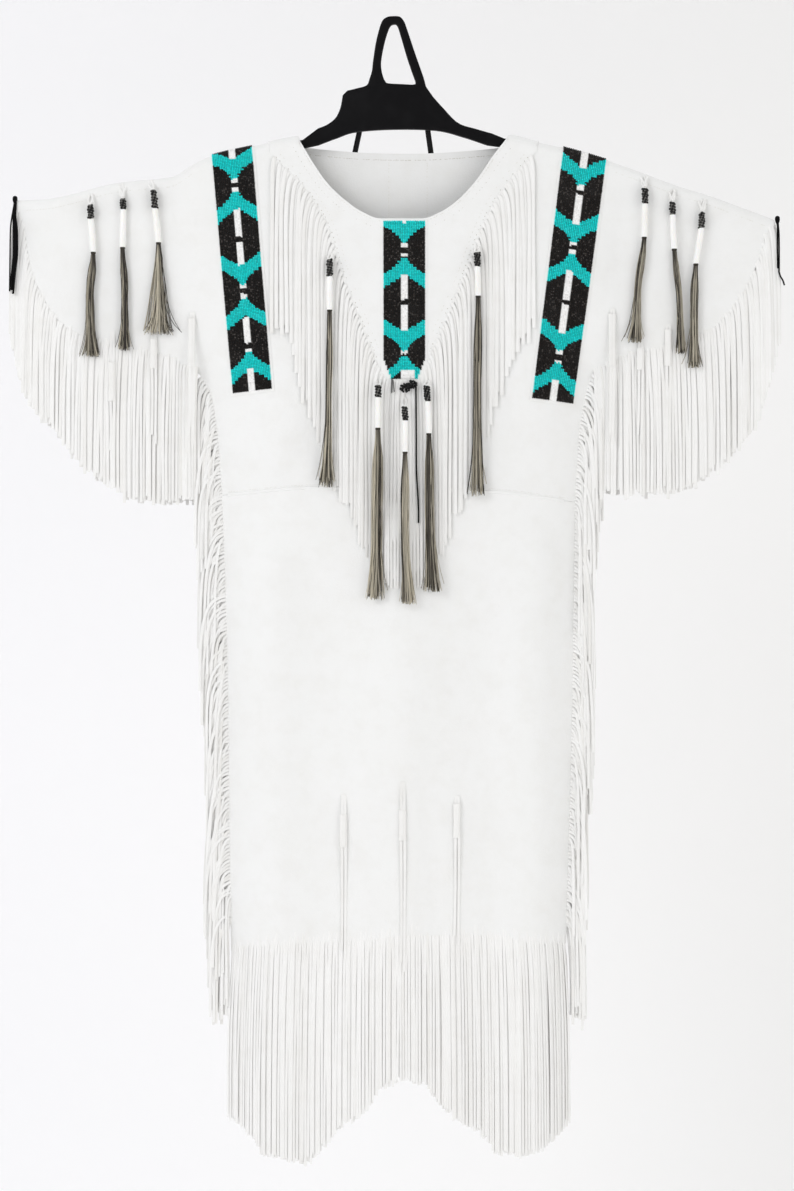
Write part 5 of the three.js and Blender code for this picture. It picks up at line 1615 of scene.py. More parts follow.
@dataclass
class HemFringe(Fringe):
    """Long fringe cut from the skirt's lower edge, front and back."""

    pitch: float = 3.4
    width: float = 3.6
    twist: float = 0.07
    unlike: float = 0.11
    ends: tuple = (
        (-226, -1411), (-204, -1425), (-182, -1446), (-170, -1462), (-144, -1466), (-116, -1472),
        (-100, -1462), (-68, -1424), (-42, -1408), (-14, -1372), (12, -1364), (38, -1370), (54, -1392),
        (88, -1422), (110, -1434), (138, -1462), (166, -1464), (190, -1456), (212, -1440), (235, -1418),
    )

    def layer(self, face: Face, depth: int, rng: np.random.Generator) -> Array:
        """Give the strands of one layer; depth 0 is the outer one."""
        g = self.shop.garment
        start = self.pitch * (0.5 * depth + (0.0 if face is Face.FRONT else 0.3))
        x = np.arange(g.seam_r(HEM_Z) + 2.2 + start, g.seam_l(HEM_Z) - 2, self.pitch)
        count = len(x)
        roots = g.place(face, x, g.hem(x) + rng.uniform(1, 16, count), 1.2 - 0.9 * depth)
        tip_x = x * 1.035 + rng.normal(0, 0.45, count)
        tip_z = Profile(self.ends)(tip_x) + rng.normal(0, 3.0, count) + (0 if face is Face.FRONT else 6)
        hang = np.maximum(np.abs(roots[:, 1]), HEM_HANG) + rng.normal(0, 0.14, count) - 0.65 * depth
        leave = unit(column(rng.normal(0, 0.01, count), 0.02 * face.value, -1.0))
        tips = column(tip_x, face.value * hang, tip_z)
        return Strands(roots, leave, tips, 14.0, 10, 0.6).paths(rng)

    def build(self) -> None:
        """Make the front and the back rows."""
        for number, face in enumerate(Face):
            rng = np.random.default_rng(self.seed + 60 + number)
            paths = np.concatenate([self.layer(face, depth, rng) for depth in (0, 1)])
            side = face.name.lower()
            out = self.shop.garment.normal(face, paths[:, :1, 0], paths[:, :1, 2] + 4.0)
            facing = np.arctan2(out[..., 0], out[..., 1] * face.value)
            self.sweep(f"fringe_strands_hem_{side}", paths, float(face.value), rng, f"fringe_hem_{side}",
                       facing=facing)


# ---------------------------------------------------------------- tassels, ties and thongs

@dataclass(frozen=True)
class TasselRow:
    """Where one hair tassel hangs, as heights, and where its middle is at each of them."""

    name: str
    top: tuple[float, float]
    wrap: float
    tube: float
    hair: float
    tip: float
    line: tuple[float, float, float, float, float]
    body: float
    spread: float
    ears: bool = False
    fan: float = 0.0


TASSELS = (
    TasselRow("sleeve_r_1", (-394, -223), -236, -256, -298, -432, (-394, -393, -390, -394.5, -391), 11.5, 18),
    TasselRow("sleeve_r_2", (-355, -209), -228, -244, -292, -424,
              (-352, -351, -352, -349, -350), 9.0, 15, True),
    TasselRow("sleeve_r_3", (-318, -204), -217, -243, -286, -404, (-312, -310, -305.5, -305, -305), 12.0, 42,
              fan=1.0),
    TasselRow("sleeve_l_1", (322, -200), -215, -237, -279, -414, (323, 323, 322, 314, 310), 10.5, 19, True),
    TasselRow("sleeve_l_2", (360, -216), -233, -251, -294, -428,
              (358.5, 359, 361, 367, 370.5), 8.5, 9.5, True),
    TasselRow("sleeve_l_3", (400, -229), -246, -268, -313, -446, (397, 396, 389, 386.5, 387), 11.5, 16, True),
    TasselRow("bib_r", (-83, -303), -309, -333, -375, -600, (-84, -84, -84, -85, -88), 8.5, 20),
    TasselRow("bib_l", (106, -294), -300, -320, -357, -611, (105.5, 106, 107, 105.5, 106.5), 11.0, 17),
    TasselRow("point_r", (-21, -465), -471, -489, -527, -745, (-21.5, -21.5, -21.8, -23, -25), 15.5, 22),
    TasselRow("point_m", (12, -489), -499, -519, -558, -751, (12.6, 13, 13, 12.5, 17), 12.0, 17),
    TasselRow("point_l", (42, -466), -472, -494, -534, -735, (40.5, 42, 43.5, 44, 48.5), 13.5, 21),
)


@dataclass
class HairTassel:
    """A tassel: a thong, a wrap of black beads, a white tube, a dark collar and loose hair."""

    shop: Workshop
    row: TasselRow
    seed: int
    wrap_radius: float = 2.8
    tube_radius: float = 4.0
    hairs: int = 120
    locks: int = 18
    hair_width: float = 0.858
    hair_steps: int = 13

    def axis(self, z: Array | float) -> Array:
        """Give the X of the tassel's middle at a height."""
        r = self.row
        middle = mix(r.hair, r.tip, 0.45)
        return Profile(list(zip((r.wrap, r.tube, r.hair, middle, r.tip), r.line)))(z)

    def depth(self) -> tuple[float, float]:
        """Give how far forward the thong starts and how far forward the tassel hangs."""
        g, r = self.shop.garment, self.row
        lying = r.name.startswith(("bib", "point"))
        cover = 4.2 if lying else 0.7
        z = np.linspace(r.top[1], r.tip, 13)
        far = float(g.forward(self.axis(z), z).max())
        start = float(g.forward(np.array(r.top[0]), np.array(r.top[1]))) + cover + 0.4
        return -start, -(far + cover + 5.0)

    def build(self) -> None:
        """Make the parts of the tassel."""
        r, rng = self.row, np.random.default_rng(self.seed)
        start, y = self.depth()
        tube = self.build_tube(y)
        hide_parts(f"tassel_{r.name}")
        self.build_wrap(y, rng)
        self.build_thong(start, y, rng)
        self.build_hair(y, rng)

    def build_tube(self, y: float) -> Part:
        """Make the white tube with rounded ends and a slight belly."""
        r, radius = self.row, self.tube_radius
        top, foot = r.tube + 1.0, r.hair
        sizes = ((0, 0.55), (0, 0.86), (0.02, 0.97), (0.07, 1.0), (0.5, 1.04), (0.93, 1.0), (0.98, 0.97),
                 (1, 0.86), (1, 0.55))
        stations = []
        for share, size in sizes:
            z = mix(top, foot, share)
            stations.append((column(self.axis(z), y, z), radius * size))
        collar = [(column(self.axis(foot), y, foot + 0.5 - d), radius * s)
                  for d, s in ((0, 0.6), (0.3, 0.84), (2.6, 0.8), (3.4, 0.6))]
        made = piece(f"tube_{r.name}", closed_mesh(*lathe(stations, 18)), TUBE, 60.0)
        piece(f"collar_{r.name}", closed_mesh(*lathe(collar, 12)), COLLAR, 60.0)
        return made

    def build_wrap(self, y: float, rng: np.random.Generator) -> None:
        """Wind the black beads round the head, and put a core inside them."""
        r = self.row
        turns = round((r.wrap - r.tube) / 4.0)
        count = int(turns * 4.4)
        t = (np.arange(count) + 0.5) / count
        angle = t * turns * 2 * math.pi + self.seed
        z = mix(r.wrap - 1.4, r.tube + 1.4, t) + rng.normal(0, 0.15, count)
        around = column(np.cos(angle), np.sin(angle), 0.0)
        middle = column(self.axis(z), y, z)
        radius = self.wrap_radius + rng.normal(0, 0.3, count)
        points = middle + around * radius[:, None]
        pole = unit(column(-np.sin(angle), np.cos(angle), -0.16))
        guide = point_guide(points, pole, around, np.array([0.01, 0.01, 0.011, 1.0]))
        self.shop.grains(f"wrap_beads_{r.name}", guide, WRAP, (1.8, 2.2), (9, 6), 0.12, 0.2, self.seed)
        core = [(column(self.axis(r.wrap), y, r.wrap - 1), 2.6),
                (column(self.axis(r.wrap), y, r.wrap - 2), 3.3),
                (column(self.axis(r.tube), y, r.tube + 2), 3.3),
                (column(self.axis(r.tube), y, r.tube + 1), 2.6)]
        piece(f"wrap_core_{r.name}", closed_mesh(*lathe(core, 12)), LINING, 60.0)

    def build_thong(self, start: float, y: float, rng: np.random.Generator) -> None:
        """Tie the head to the cloth with a doubled white thong."""
        r = self.row
        t = np.linspace(0, 1, 9)
        strands = []
        for way in (-1.0, 1.0):
            top = r.top[0] + way * 1.8
            x = mix(top, r.line[0], t) + way * 1.7 * np.sin(math.pi * t)
            z = mix(r.top[1] + way, r.wrap - 2.0, t)
            strands.append(column(x, mix(start, y, ease(t)) - way * 0.8 * np.sin(math.pi * t), z))
        if r.ears:
            for way in (-1.0, 1.0):
                x = r.line[0] - way * 1.2 + way * 5.4 * t
                strands.append(column(x, mix(y - 0.5, start - 1.2, t), r.wrap + 1 + 14 * t + way * t))
        paths = np.stack(strands)
        flat = np.broadcast_to(column(0.25, -1.0, 0.3), paths.shape)
        guide = path_guide(paths, flat, 1.0, rng.uniform(0, 0.25, (len(strands), 1)))
        self.shop.cords(f"thong_{r.name}", guide, FRINGE_HIDE_PAINTED_LIGHT, 3.3, 2.5, 6, 1.3)

    def build_hair(self, y: float, rng: np.random.Generator) -> None:
        """Let the hair fall from the collar, spreading towards the tips."""
        r, n = self.row, self.hairs
        t = np.linspace(0, 1, self.hair_steps)[None, :]
        root = r.hair - 1.5
        disc = np.sqrt(rng.uniform(0, 1, (n, 1)))
        angle = rng.uniform(0, 2 * math.pi, (n, 1))
        u, v = disc * np.cos(angle), disc * np.sin(angle)
        z = root - (root - r.tip) * mix(0.95, 1.015, rng.uniform(0, 1, (n, 1))) * t
        body = 0.43 * r.body
        core = mix(2.7, body, ease(t / 0.22)) + (r.spread / 2 - body) * t ** 7
        fan = mix(2.0, r.spread / 2, t ** 1.1)
        x = self.axis(z) + u * mix(core, fan, r.fan * (rng.uniform(0, 1, (n, 1)) < 0.55))
        phase, size = rng.uniform(0, 6.3, (n, 1)), rng.uniform(0.1, 0.6, (n, 1))
        waves = rng.uniform(5.0, 19.0, (n, 1))
        x = x + size * (np.sin(waves * t + phase) - np.sin(phase)) * ease(t * 4)
        stray = (rng.uniform(0, 1, (n, 1)) < 0.22) * rng.normal(0, 0.3 * r.spread, (n, 1))
        x = x + stray * t ** 4
        thick = mix(2.0, np.minimum(3.4, 1.6 + r.body * 0.12), ease(t * 1.6))
        paths = column(x, y + v * thick, z)
        flat = np.broadcast_to(unit(column(u, v - 0.2, 0.0)), paths.shape)
        locks = rng.choice([0.0, 0.45, 1.0], self.locks, p=[0.32, 0.32, 0.36])
        lock = (u + 1) * self.locks / 2 + rng.normal(0, 0.7, (n, 1))
        lock = np.clip(lock, 0, self.locks - 1).astype(int)
        own = locks[lock] + rng.normal(0, 0.16, (n, 1))
        own = own - (0.1 if r.name.startswith("point") else 0.0 if r.name.startswith("bib") else -0.17)
        shade = np.clip(own + 0.6 * (1 - ease(t * 7.0)) + 0.12 - 0.2 * t, 0, 1)
        guide = path_guide(paths, flat, rng.uniform(0.75, 1.3, (n, 1)), shade)
        self.shop.cords(f"hair_{r.name}", guide, HAIR, self.hair_width, self.hair_width, 3, 3.0)


@dataclass(frozen=True)
class TieRow:
    """Where a white thong tie comes out of the cloth and where its parts end."""

    name: str
    x: float
    top_z: float
    tube: float
    strings: float
    tip_x: float
    tip_z: float


TIES = (
    TieRow("tie_skirt_r", -66, -998, -1024, -1066, -66, -1204),
    TieRow("tie_skirt_m", 10, -981, -1017, -1056, 10, -1219),
    TieRow("tie_skirt_l", 80, -1000, -1010, -1054, 79, -1186),
    TieRow("tie_sleeve_r_1", -262, -376, -384, -447, -264, -540),
    TieRow("tie_sleeve_r_2", -312, -398, -410, -448, -312, -540),
    TieRow("tie_sleeve_r_3", -366, -400, -440, -490, -366, -560),
    TieRow("tie_sleeve_l_1", 281, -370, -378, -446, 280, -540),
    TieRow("tie_sleeve_l_2", 318, -412, -422, -450, 317, -540),
    TieRow("tie_sleeve_l_3", 354, -390, -398, -445, 354, -550),
)


@dataclass
class ThongTie:
    """A white thong drawn through the cloth: a loop, a rolled sleeve and two loose strings."""

    shop: Workshop
    row: TieRow
    seed: int
    roll_radius: float = 4.6
    flatness: float = 0.32

    def build(self) -> None:
        """Make the loop, the roll and the strings."""
        g, r, rng = self.shop.garment, self.row, np.random.default_rng(self.seed)
        t = np.linspace(0, 1, 13)
        forward = float(g.forward(mix(r.x, r.tip_x, t), mix(r.top_z, r.tip_z, t)).max())
        if "sleeve" in r.name:
            forward = max(forward, SLEEVE_HANG + 3.2)
        y = -(forward + self.roll_radius * self.flatness + 0.8)
        start = -(float(g.forward(np.array(r.x), np.array(r.top_z))) + 0.6)
        self.build_roll(y, rng)
        loop = []
        for way in (-1.0, 1.0):
            x = r.x + way * (1.5 + 0.3 * np.sin(math.pi * t))
            z = mix(r.top_z, r.tube - 6, t)
            loop.append(column(x, mix(start, y, ease(t)), z))
        strings = []
        for way in (-1.0, 1.0):
            x = mix(r.x + way * 1.8, r.tip_x + way * (2.0 + rng.uniform(0, 1.2)), t)
            x = x + 0.5 * np.sin(4 * t + way)
            z = mix(r.strings + 6, r.tip_z - way * 6, t)
            fall = np.minimum(y + 2.4, -g.forward(x, z) - 0.9)
            if "sleeve" in r.name:
                fall = np.minimum(fall, -(SLEEVE_HANG + 4.0))
            strings.append(column(x, mix(y, fall, ease(t * 2)), z))
        paths = np.stack(loop + strings)
        guide = path_guide(paths, np.broadcast_to(column(0.1, -1.0, 0.0), paths.shape), 1.0,
                           rng.uniform(0, 0.2, (4, 1)))
        self.shop.cords(f"strings_{r.name}", guide, FRINGE_HIDE_PAINTED_LIGHT, 4.7, 1.3)

    def build_roll(self, y: float, rng: np.random.Generator) -> None:
        """Roll a strip of hide into a loose sleeve with an overlap at the front."""
        r = self.row
        turn = np.linspace(-0.35, 2 * math.pi + 0.25, 26) - math.pi / 2 + rng.uniform(-0.4, 0.4)
        swell = np.linspace(0.8, 1.12, len(turn))
        z = np.linspace(r.tube, r.strings, 9)[:, None]
        lean = mix(r.x, r.x + 0.25 * (r.tip_x - r.x), (r.tube - z) / (r.tube - r.strings))
        radius = self.roll_radius * swell * (1 + 0.05 * np.sin(z / 9))
        inner, outer = (column(lean + (radius - wall) * np.cos(turn),
                               y + (radius * self.flatness - wall) * np.sin(turn), z) for wall in (0.9, 0.0))
        mesh = closed_mesh(*shell(inner, outer))
        # Painted shade: the whole roll is pushed a quarter of the way to the hide's darker tone, to sit with
        # the shaded fringe round it.
        store(mesh, "shade", "FLOAT", np.full(len(mesh.vertices), 0.25))
        made = piece(f"roll_{r.name}", mesh, FRINGE_HIDE_PAINTED_LIGHT, 50.0)
        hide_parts(r.name)


@dataclass
class CuffThongs:
    """Black thongs tied at the tips of the sleeves."""

    shop: Workshop
    seed: int = 77

    def build(self) -> None:
        """Make the full bunch on the right tip and the single string on the left."""
        rng = np.random.default_rng(self.seed)
        t = np.linspace(0, 1, 16)
        middle = Profile((
            (0, -492.6), (0.15, -493.2), (0.34, -491.6), (0.55, -491.4), (0.78, -494.2), (1, -497.2)))
        half = Profile(((0, 1.0), (0.15, 1.5), (0.34, 2.6), (0.55, 2.7), (0.8, 2.3), (1, 2.9)))
        right = []
        for k in range(14):
            reach = rng.uniform(0.78, 1.0)
            x = middle(t * reach) + (k % 7 - 3) / 3 * half(t * reach) + rng.normal(0, 0.3) * t
            y = -mix(4.5, 12.0 + (k // 7) * 1.6, ease(t * 4)) + rng.normal(0, 0.3)
            right.append(column(x, y, mix(-227, -352, t * reach)))
        bow = Profile(((0, -493.6), (0.15, -495.6), (0.34, -498.2), (0.75, -498.9), (1, -499.3)))
        right.append(column(bow(t), -mix(4.5, 11.5, ease(t * 4)), mix(-227, -348, t)))
        self.strings("cuff_strings_r", np.stack(right), rng, "cuff_thong_r")
        kink = 7.5 * ease((t - 0.8) / 0.2)
        left = column(497.0 + 0.8 * np.sin(3 * t) + kink, -mix(3.5, 10.5, ease(t * 4)), mix(-252, -340, t))
        second = column(496.2 - 0.6 * np.sin(3 * t), -mix(3.0, 9.5, ease(t * 4)), mix(-252, -318, t))
        self.strings("cuff_strings_l", np.stack([left, second]), rng, "cuff_thong_l")
        for tag, x, z in (("r", -493.6, -226), ("l", 496.8, -252)):
            rings = [(np.array([x, -2.4, z + dz]), s) for dz, s in
                     ((3.2, 0.7), (2.6, 2.1), (1, 3.2), (-2, 3.3), (-5, 2.6), (-7, 1.6))]
            piece(f"cuff_knot_{tag}", closed_mesh(*lathe(rings, 12)), THONG, 60.0)

    def strings(self, name: str, paths: Array, rng: np.random.Generator, node: str) -> None:
        """Sweep black thongs along their paths."""
        count = len(paths)
        flat = np.broadcast_to(unit(column(rng.normal(0, 0.4, (count, 1)), -1.0, 0.0)), paths.shape)
        guide = path_guide(paths, flat, rng.uniform(0.75, 1.1, (count, 1)), rng.uniform(0, 0.2, (count, 1)))
        made = self.shop.cords(name, guide, THONG, 2.3, 1.6)
        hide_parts(node)


@dataclass
class BeadDrop:
    """The cluster of black beads and the thread below the centre strip."""

    shop: Workshop
    cover: float = 9.0
    seed: int = 91

    def build(self) -> None:
        """Make the cluster, the thread and the short dark streak beside it."""
        rng = np.random.default_rng(self.seed)
        g = self.shop.garment
        y = -(float(g.forward(np.array(16.0), np.array(-470.0), 0.0)) + self.cover)
        lobes = ((13.0, -475, 6.2, 6.0, 46), (22.0, -470.5, 6.6, 5.0, 44), (17.5, -472.5, 4.0, 4.0, 14))
        points = []
        for x, z, wide, tall, count in lobes:
            angle, size = rng.uniform(0, 6.283, count), np.sqrt(rng.uniform(0, 1, count))
            depth = y + rng.normal(0, 1.1, count) - 1.2 * (1 - size)
            points.append(column(x + wide * size * np.cos(angle), depth, z + tall * size * np.sin(angle)))
        cloud = np.concatenate(points)
        pole = unit(rng.normal(0, 1, cloud.shape))
        facing = np.cross(pole, unit(rng.normal(0, 1, cloud.shape)))
        guide = point_guide(cloud, pole, facing, np.array([0.008, 0.008, 0.009, 1.0]))
        made = self.shop.grains("bead_cluster", guide, WRAP, (1.5, 1.25), (8, 6), 0.12, 1.0, self.seed)
        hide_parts("bead_drop")
        t = np.linspace(0, 1, 22)
        x = 27.0 + 0.4 * np.sin(3 * t) + 3.2 * ease((t - 0.55) / 0.4)
        z = mix(-472, -649, t)
        thread = column(x, -(g.forward(x, z, BIB_LOW) + mix(6.0, 5.4, t)), z)
        guide = path_guide(thread[None], column(0.0, -1.0, 0.0), 1.0, 0.2)
        self.shop.cords("bead_thread", guide, THONG, 2.0, 1.5, 6, 2.0)
        t = np.linspace(0, 1, 6)
        ends = [column(x + 0.8 * t * k, y + 0.8 + 0.1 * k, mix(-463 - k, -482 + k, t))
                for k, x in enumerate((-4.6, -3.4, -2.4))]
        guide = path_guide(np.stack(ends), column(0.0, -1.0, 0.0), 1.0, 0.9)
        self.shop.cords("bead_thread_ends", guide, THONG, 1.2, 0.9)


# ---------------------------------------------------------------- stitching

@dataclass
class Stitching:
    """Rows of stitches and punched holes, laid on the cloth."""

    shop: Workshop

    def row(self, name: str, face: Face, line: Array, pitch: float, height: float, finish: Finish,
            size: tuple[float, float], inside: bool = False, seed: int = 5) -> None:
        """Lay one row of stitches along a line.

        Args:
            name: Name of the piece.
            face: Front or back of the dress.
            line: X and Z along the row.
            pitch: Distance between stitches.
            height: Height over the cloth's inner face.
            finish: Thread or hole.
            size: Half the thickness and half the length of a stitch.
            inside: Whether the row is on the inner face.
            seed: Seed of the small differences.
        """
        g = self.shop.garment
        run = travelled(line)
        steps = np.arange(pitch / 2, run[-1], pitch)
        rng = np.random.default_rng(seed)
        steps = (steps + rng.normal(0, 0.16 * pitch, len(steps)))[rng.uniform(0, 1, len(steps)) < 0.8]
        x = np.interp(steps, run, line[:, 0]) + rng.normal(0, 0.12, len(steps))
        z = np.interp(steps, run, line[:, 1]) + rng.normal(0, 0.12, len(steps))
        out = g.normal(face, x, z)
        points = g.place(face, x, z, height)
        pole = unit(np.gradient(points, axis=0))
        guide = point_guide(points, pole, -out if inside else out, np.array([1.0, 1.0, 1.0, 1.0]))
        self.shop.grains(name, guide, finish, size, (6, 4), 0.12, 0.12, seed)

    def inset(self, face: Face, offset: float) -> Array:
        """Give a line inside the neckline's edge."""
        g = self.shop.garment
        x = np.linspace(-122, 144, 300)
        z = g.neck[face](x)
        slope = np.gradient(z, x)
        size = np.hypot(1, slope)
        line = np.stack([x + slope / size * offset, z - offset / size], -1)
        keep = line[:, 1] < g.shoulder(line[:, 0]) - 3
        return line[keep]

    def bib_line(self, tag: str, offset: float) -> Array:
        """Give a line inside the bib's slanting edge."""
        g = self.shop.garment
        z = np.linspace(-176, -455, 300)
        x = (g.bib_r if tag == "r" else g.bib_l)(z)
        slope = np.gradient(x, z)
        shift = (offset if tag == "r" else -offset) / np.hypot(1, slope)
        return np.stack([x + shift, z - shift * slope], -1)

    def build(self) -> None:
        """Lay every row."""
        g = self.shop.garment
        neck, front = self.inset, BIB_HIGH
        self.row("stitches_neck_edge", Face.FRONT, neck(Face.FRONT, 3.0), 4.4, front, THREAD, (0.42, 1.3))
        # The holes are grey grains on the cloth: painted shade in place of real openings.
        self.row("holes_neck", Face.FRONT, neck(Face.FRONT, 12.0), 6.6, front - 0.25, PAINTED_HOLE_SHADE, (0.5, 0.8))
        self.row("stitches_neck_back", Face.BACK, neck(Face.BACK, 8.5), 3.2, 0.0, PAINTED_HOLE_SHADE, (0.38, 1.35), True)
        for tag in "rl":
            holes, seam = self.bib_line(tag, 4.5), self.bib_line(tag, 10.5)
            self.row(f"holes_bib_{tag}", Face.FRONT, holes, 6.8, front - 0.3, PAINTED_HOLE_SHADE, (0.7, 0.9))
            self.row(f"stitches_bib_{tag}", Face.FRONT, seam, 6.8, front - 0.1, THREAD, (0.45, 1.2))
        x = g.width_at(np.linspace(0.02, 0.98, 300), YOKE_SEAM_Z)
        for face in Face:
            side = face.name.lower()
            line = np.stack([x, g.yoke_seam(x) + 3.6], -1)
            self.row(f"stitches_yoke_{side}", face, line, 3.4, LEATHER, THREAD, (0.3, 1.35))
            at, seam = x[::6], g.yoke_seam(x[::6])
            path = g.place(face, at, seam, LEATHER - 0.35)[None]
            guide = path_guide(path, g.normal(face, at, seam), 1.0, 0.0)
            self.shop.cords(f"yoke_welt_{side}", guide, HIDE, 4.8, 3.0, 8, 1.3)
        z = np.linspace(-176, -330, 120)
        for name, seam_x in (("r", -8.0), ("l", 42.0)):
            line = column(seam_x, z)
            self.row(f"stitches_back_{name}", Face.BACK, line, 3.4, 0.0, THREAD, (0.4, 1.35), True)
        for tag, start, end in (("r", -478, -262), ("l", 285, 480)):
            x = np.linspace(start, end, 200)
            line = np.stack([x, g.shoulder(x) - 12.5], -1)
            self.row(f"stitches_sleeve_{tag}", Face.FRONT, line, 4.0, LEATHER, THREAD, (0.34, 1.4))


# ---------------------------------------------------------------- hanger

@dataclass
class Hanger:
    """The black plastic hanger: a plate with a loop and arms, and a rear bar on two struts."""

    shop: Workshop
    thickness: float = 7.0
    rounding: float = 1.6
    loop_right: tuple = (
        (-62, -86), (-50, -83), (-37, -79), (-33, -70), (-30, -60), (-28.5, -47), (-25, -24), (-20, -4),
        (-16, 5.5), (-10, 9.8),
    )
    loop_left: tuple = ((-3, 10.8), (6, 10.2), (11.5, 4.5), (15, -4), (26, -37), (36.5, -67), (40.5, -81))
    plate_left: tuple = ((49.5, -94), (63, -109), (82, -128), (105, -135.6), (126, -141.6))
    plate_foot: tuple = (
        (120, -157), (90, -147), (54, -138), (-2, -136.5), (-51, -140), (-76, -148), (-100, -157),
    )
    plate_right: tuple = ((-100, -135), (-88, -130), (-77, -121), (-71, -108), (-68, -92))
    eye: tuple = (
        (-2, 0), (3, -2), (8, -17), (15, -41), (22, -62), (26.5, -75), (24, -78), (10, -77.5), (-8, -76.5),
        (-12.5, -74), (-16, -66), (-18, -54), (-17, -41), (-12.5, -20), (-7, -4),
    )
    arm_drop: float = 2.6
    arm_height: float = 12.0
    end_r: float = -254.0
    end_l: float = 262.0

    @staticmethod
    def spline(points: Sequence[tuple[float, float]], pieces: int, closed: bool = False) -> Array:
        """Draw a smooth curve through points."""
        p = np.array(points, float)
        ends = (p[-1:], p[:2]) if closed else (2 * p[:1] - p[1:2], 2 * p[-1:] - p[-2:-1])
        q = np.concatenate([ends[0], p, ends[1]])
        spans = len(q) - 3
        t = np.linspace(0, spans, pieces, endpoint=not closed)
        i = np.minimum(t.astype(int), spans - 1)
        u = (t - i)[:, None]
        a, b, c, d = q[i], q[i + 1], q[i + 2], q[i + 3]
        return 0.5 * (2 * b + (c - a) * u + (2 * a - 5 * b + 4 * c - d) * u ** 2
                      + (3 * b - a - 3 * c + d) * u ** 3)

    def arm(self, start: float, end: float, count: int, drop: float) -> Array:
        """Give one edge of an arm, under the shoulder line."""
        x = np.linspace(start, end, count)
        return np.stack([x, self.shop.garment.shoulder(x) - self.arm_drop - drop], -1)

    def tip(self, x: float) -> Array:
        """Round an arm's end."""
        z = float(self.shop.garment.shoulder(x)) - self.arm_drop
        turn = np.linspace(math.pi / 2, -math.pi / 2, 9)
        way = 1.0 if x > 0 else -1.0
        half = self.arm_height / 2
        return np.stack([x + way * (half * np.cos(turn) - half), z - half + half * np.sin(turn)], -1)

    def build(self) -> None:
        """Make the plate and the rear bar."""
        outline = np.concatenate([
            self.spline([*self.loop_right, *self.loop_left], 90),
            self.spline(self.plate_left, 16), self.arm(142, self.end_l - 12, 20, 0), self.tip(self.end_l),
            self.arm(self.end_l - 14, 150, 20, self.arm_height), self.spline(self.plate_foot, 46),
            self.arm(-128, self.end_r + 14, 20, self.arm_height), self.tip(self.end_r)[::-1],
            self.arm(self.end_r + 12, -120, 22, 0), self.spline(self.plate_right, 22),
        ])
        flat = bpy.data.curves.new("hanger_outline", "CURVE")
        flat.dimensions, flat.fill_mode = "2D", "BOTH"
        flat.extrude = (self.thickness / 2 - self.rounding) * MM
        flat.bevel_depth, flat.bevel_resolution, flat.offset = self.rounding * MM, 3, -self.rounding * MM
        for line in (outline, self.spline(self.eye, 80, True)):
            spline = flat.splines.new("POLY")
            spline.points.add(len(line) - 1)
            spline.points.foreach_set("co", column(line[:, 0] * MM, line[:, 1] * MM, 0.0, 1.0).ravel())
            spline.use_cyclic_u = True
        holder = bpy.data.objects.new("hanger_outline", flat)
        bpy.context.collection.objects.link(holder)
        graph = bpy.context.evaluated_depsgraph_get()
        mesh = bpy.data.meshes.new_from_object(holder.evaluated_get(graph), depsgraph=graph)
        bpy.data.objects.remove(holder)
        self.stand_up(mesh)
        plate = piece("hanger_plate", mesh, PLASTIC, 35.0)
        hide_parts("hanger")
        self.build_bar()

    @staticmethod
    def stand_up(mesh: Mesh) -> None:
        """Turn a flat mesh upright, close its seams and face it outwards."""
        bm = bmesh.new()
        bm.from_mesh(mesh)
        for vert in bm.verts:
            x, y, z = vert.co
            vert.co = (x, -z, y)
        bmesh.ops.remove_doubles(bm, verts=bm.verts, dist=1e-6)
        bmesh.ops.recalc_face_normals(bm, faces=bm.faces)
        bm.to_mesh(mesh)
        bm.free()

    def build_bar(self) -> None:
        """Make the struts and the bar behind the dress as one bent rod."""
        back = self.thickness / 2
        right = [
            (-45, back - 0.6, -130), (-45, back + 5, -131), (-54, 27, -168), (-54, 36, -226), (-46, 36, -236)]
        left = [(40, 36, -236), (49, 36, -226), (48, 27, -168), (42, back + 5, -131), (42, back - 0.6, -130)]
        corners = np.array(right + left, float)
        run = travelled(corners)
        line = resample(corners, run, np.linspace(0, run[-1], 90))
        for _ in range(6):
            line[1:-1] = (line[:-2] + line[1:-1] * 2 + line[2:]) / 4
        guide = path_guide(line[None], column(0.0, -1.0, 0.0), 1.0, 0.0)
        rod = self.shop.cords("hanger_rod", guide, PLASTIC, 7.2, 5.4, 14, 1.2)
        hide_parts("hanger_bar")


# ---------------------------------------------------------------- studio

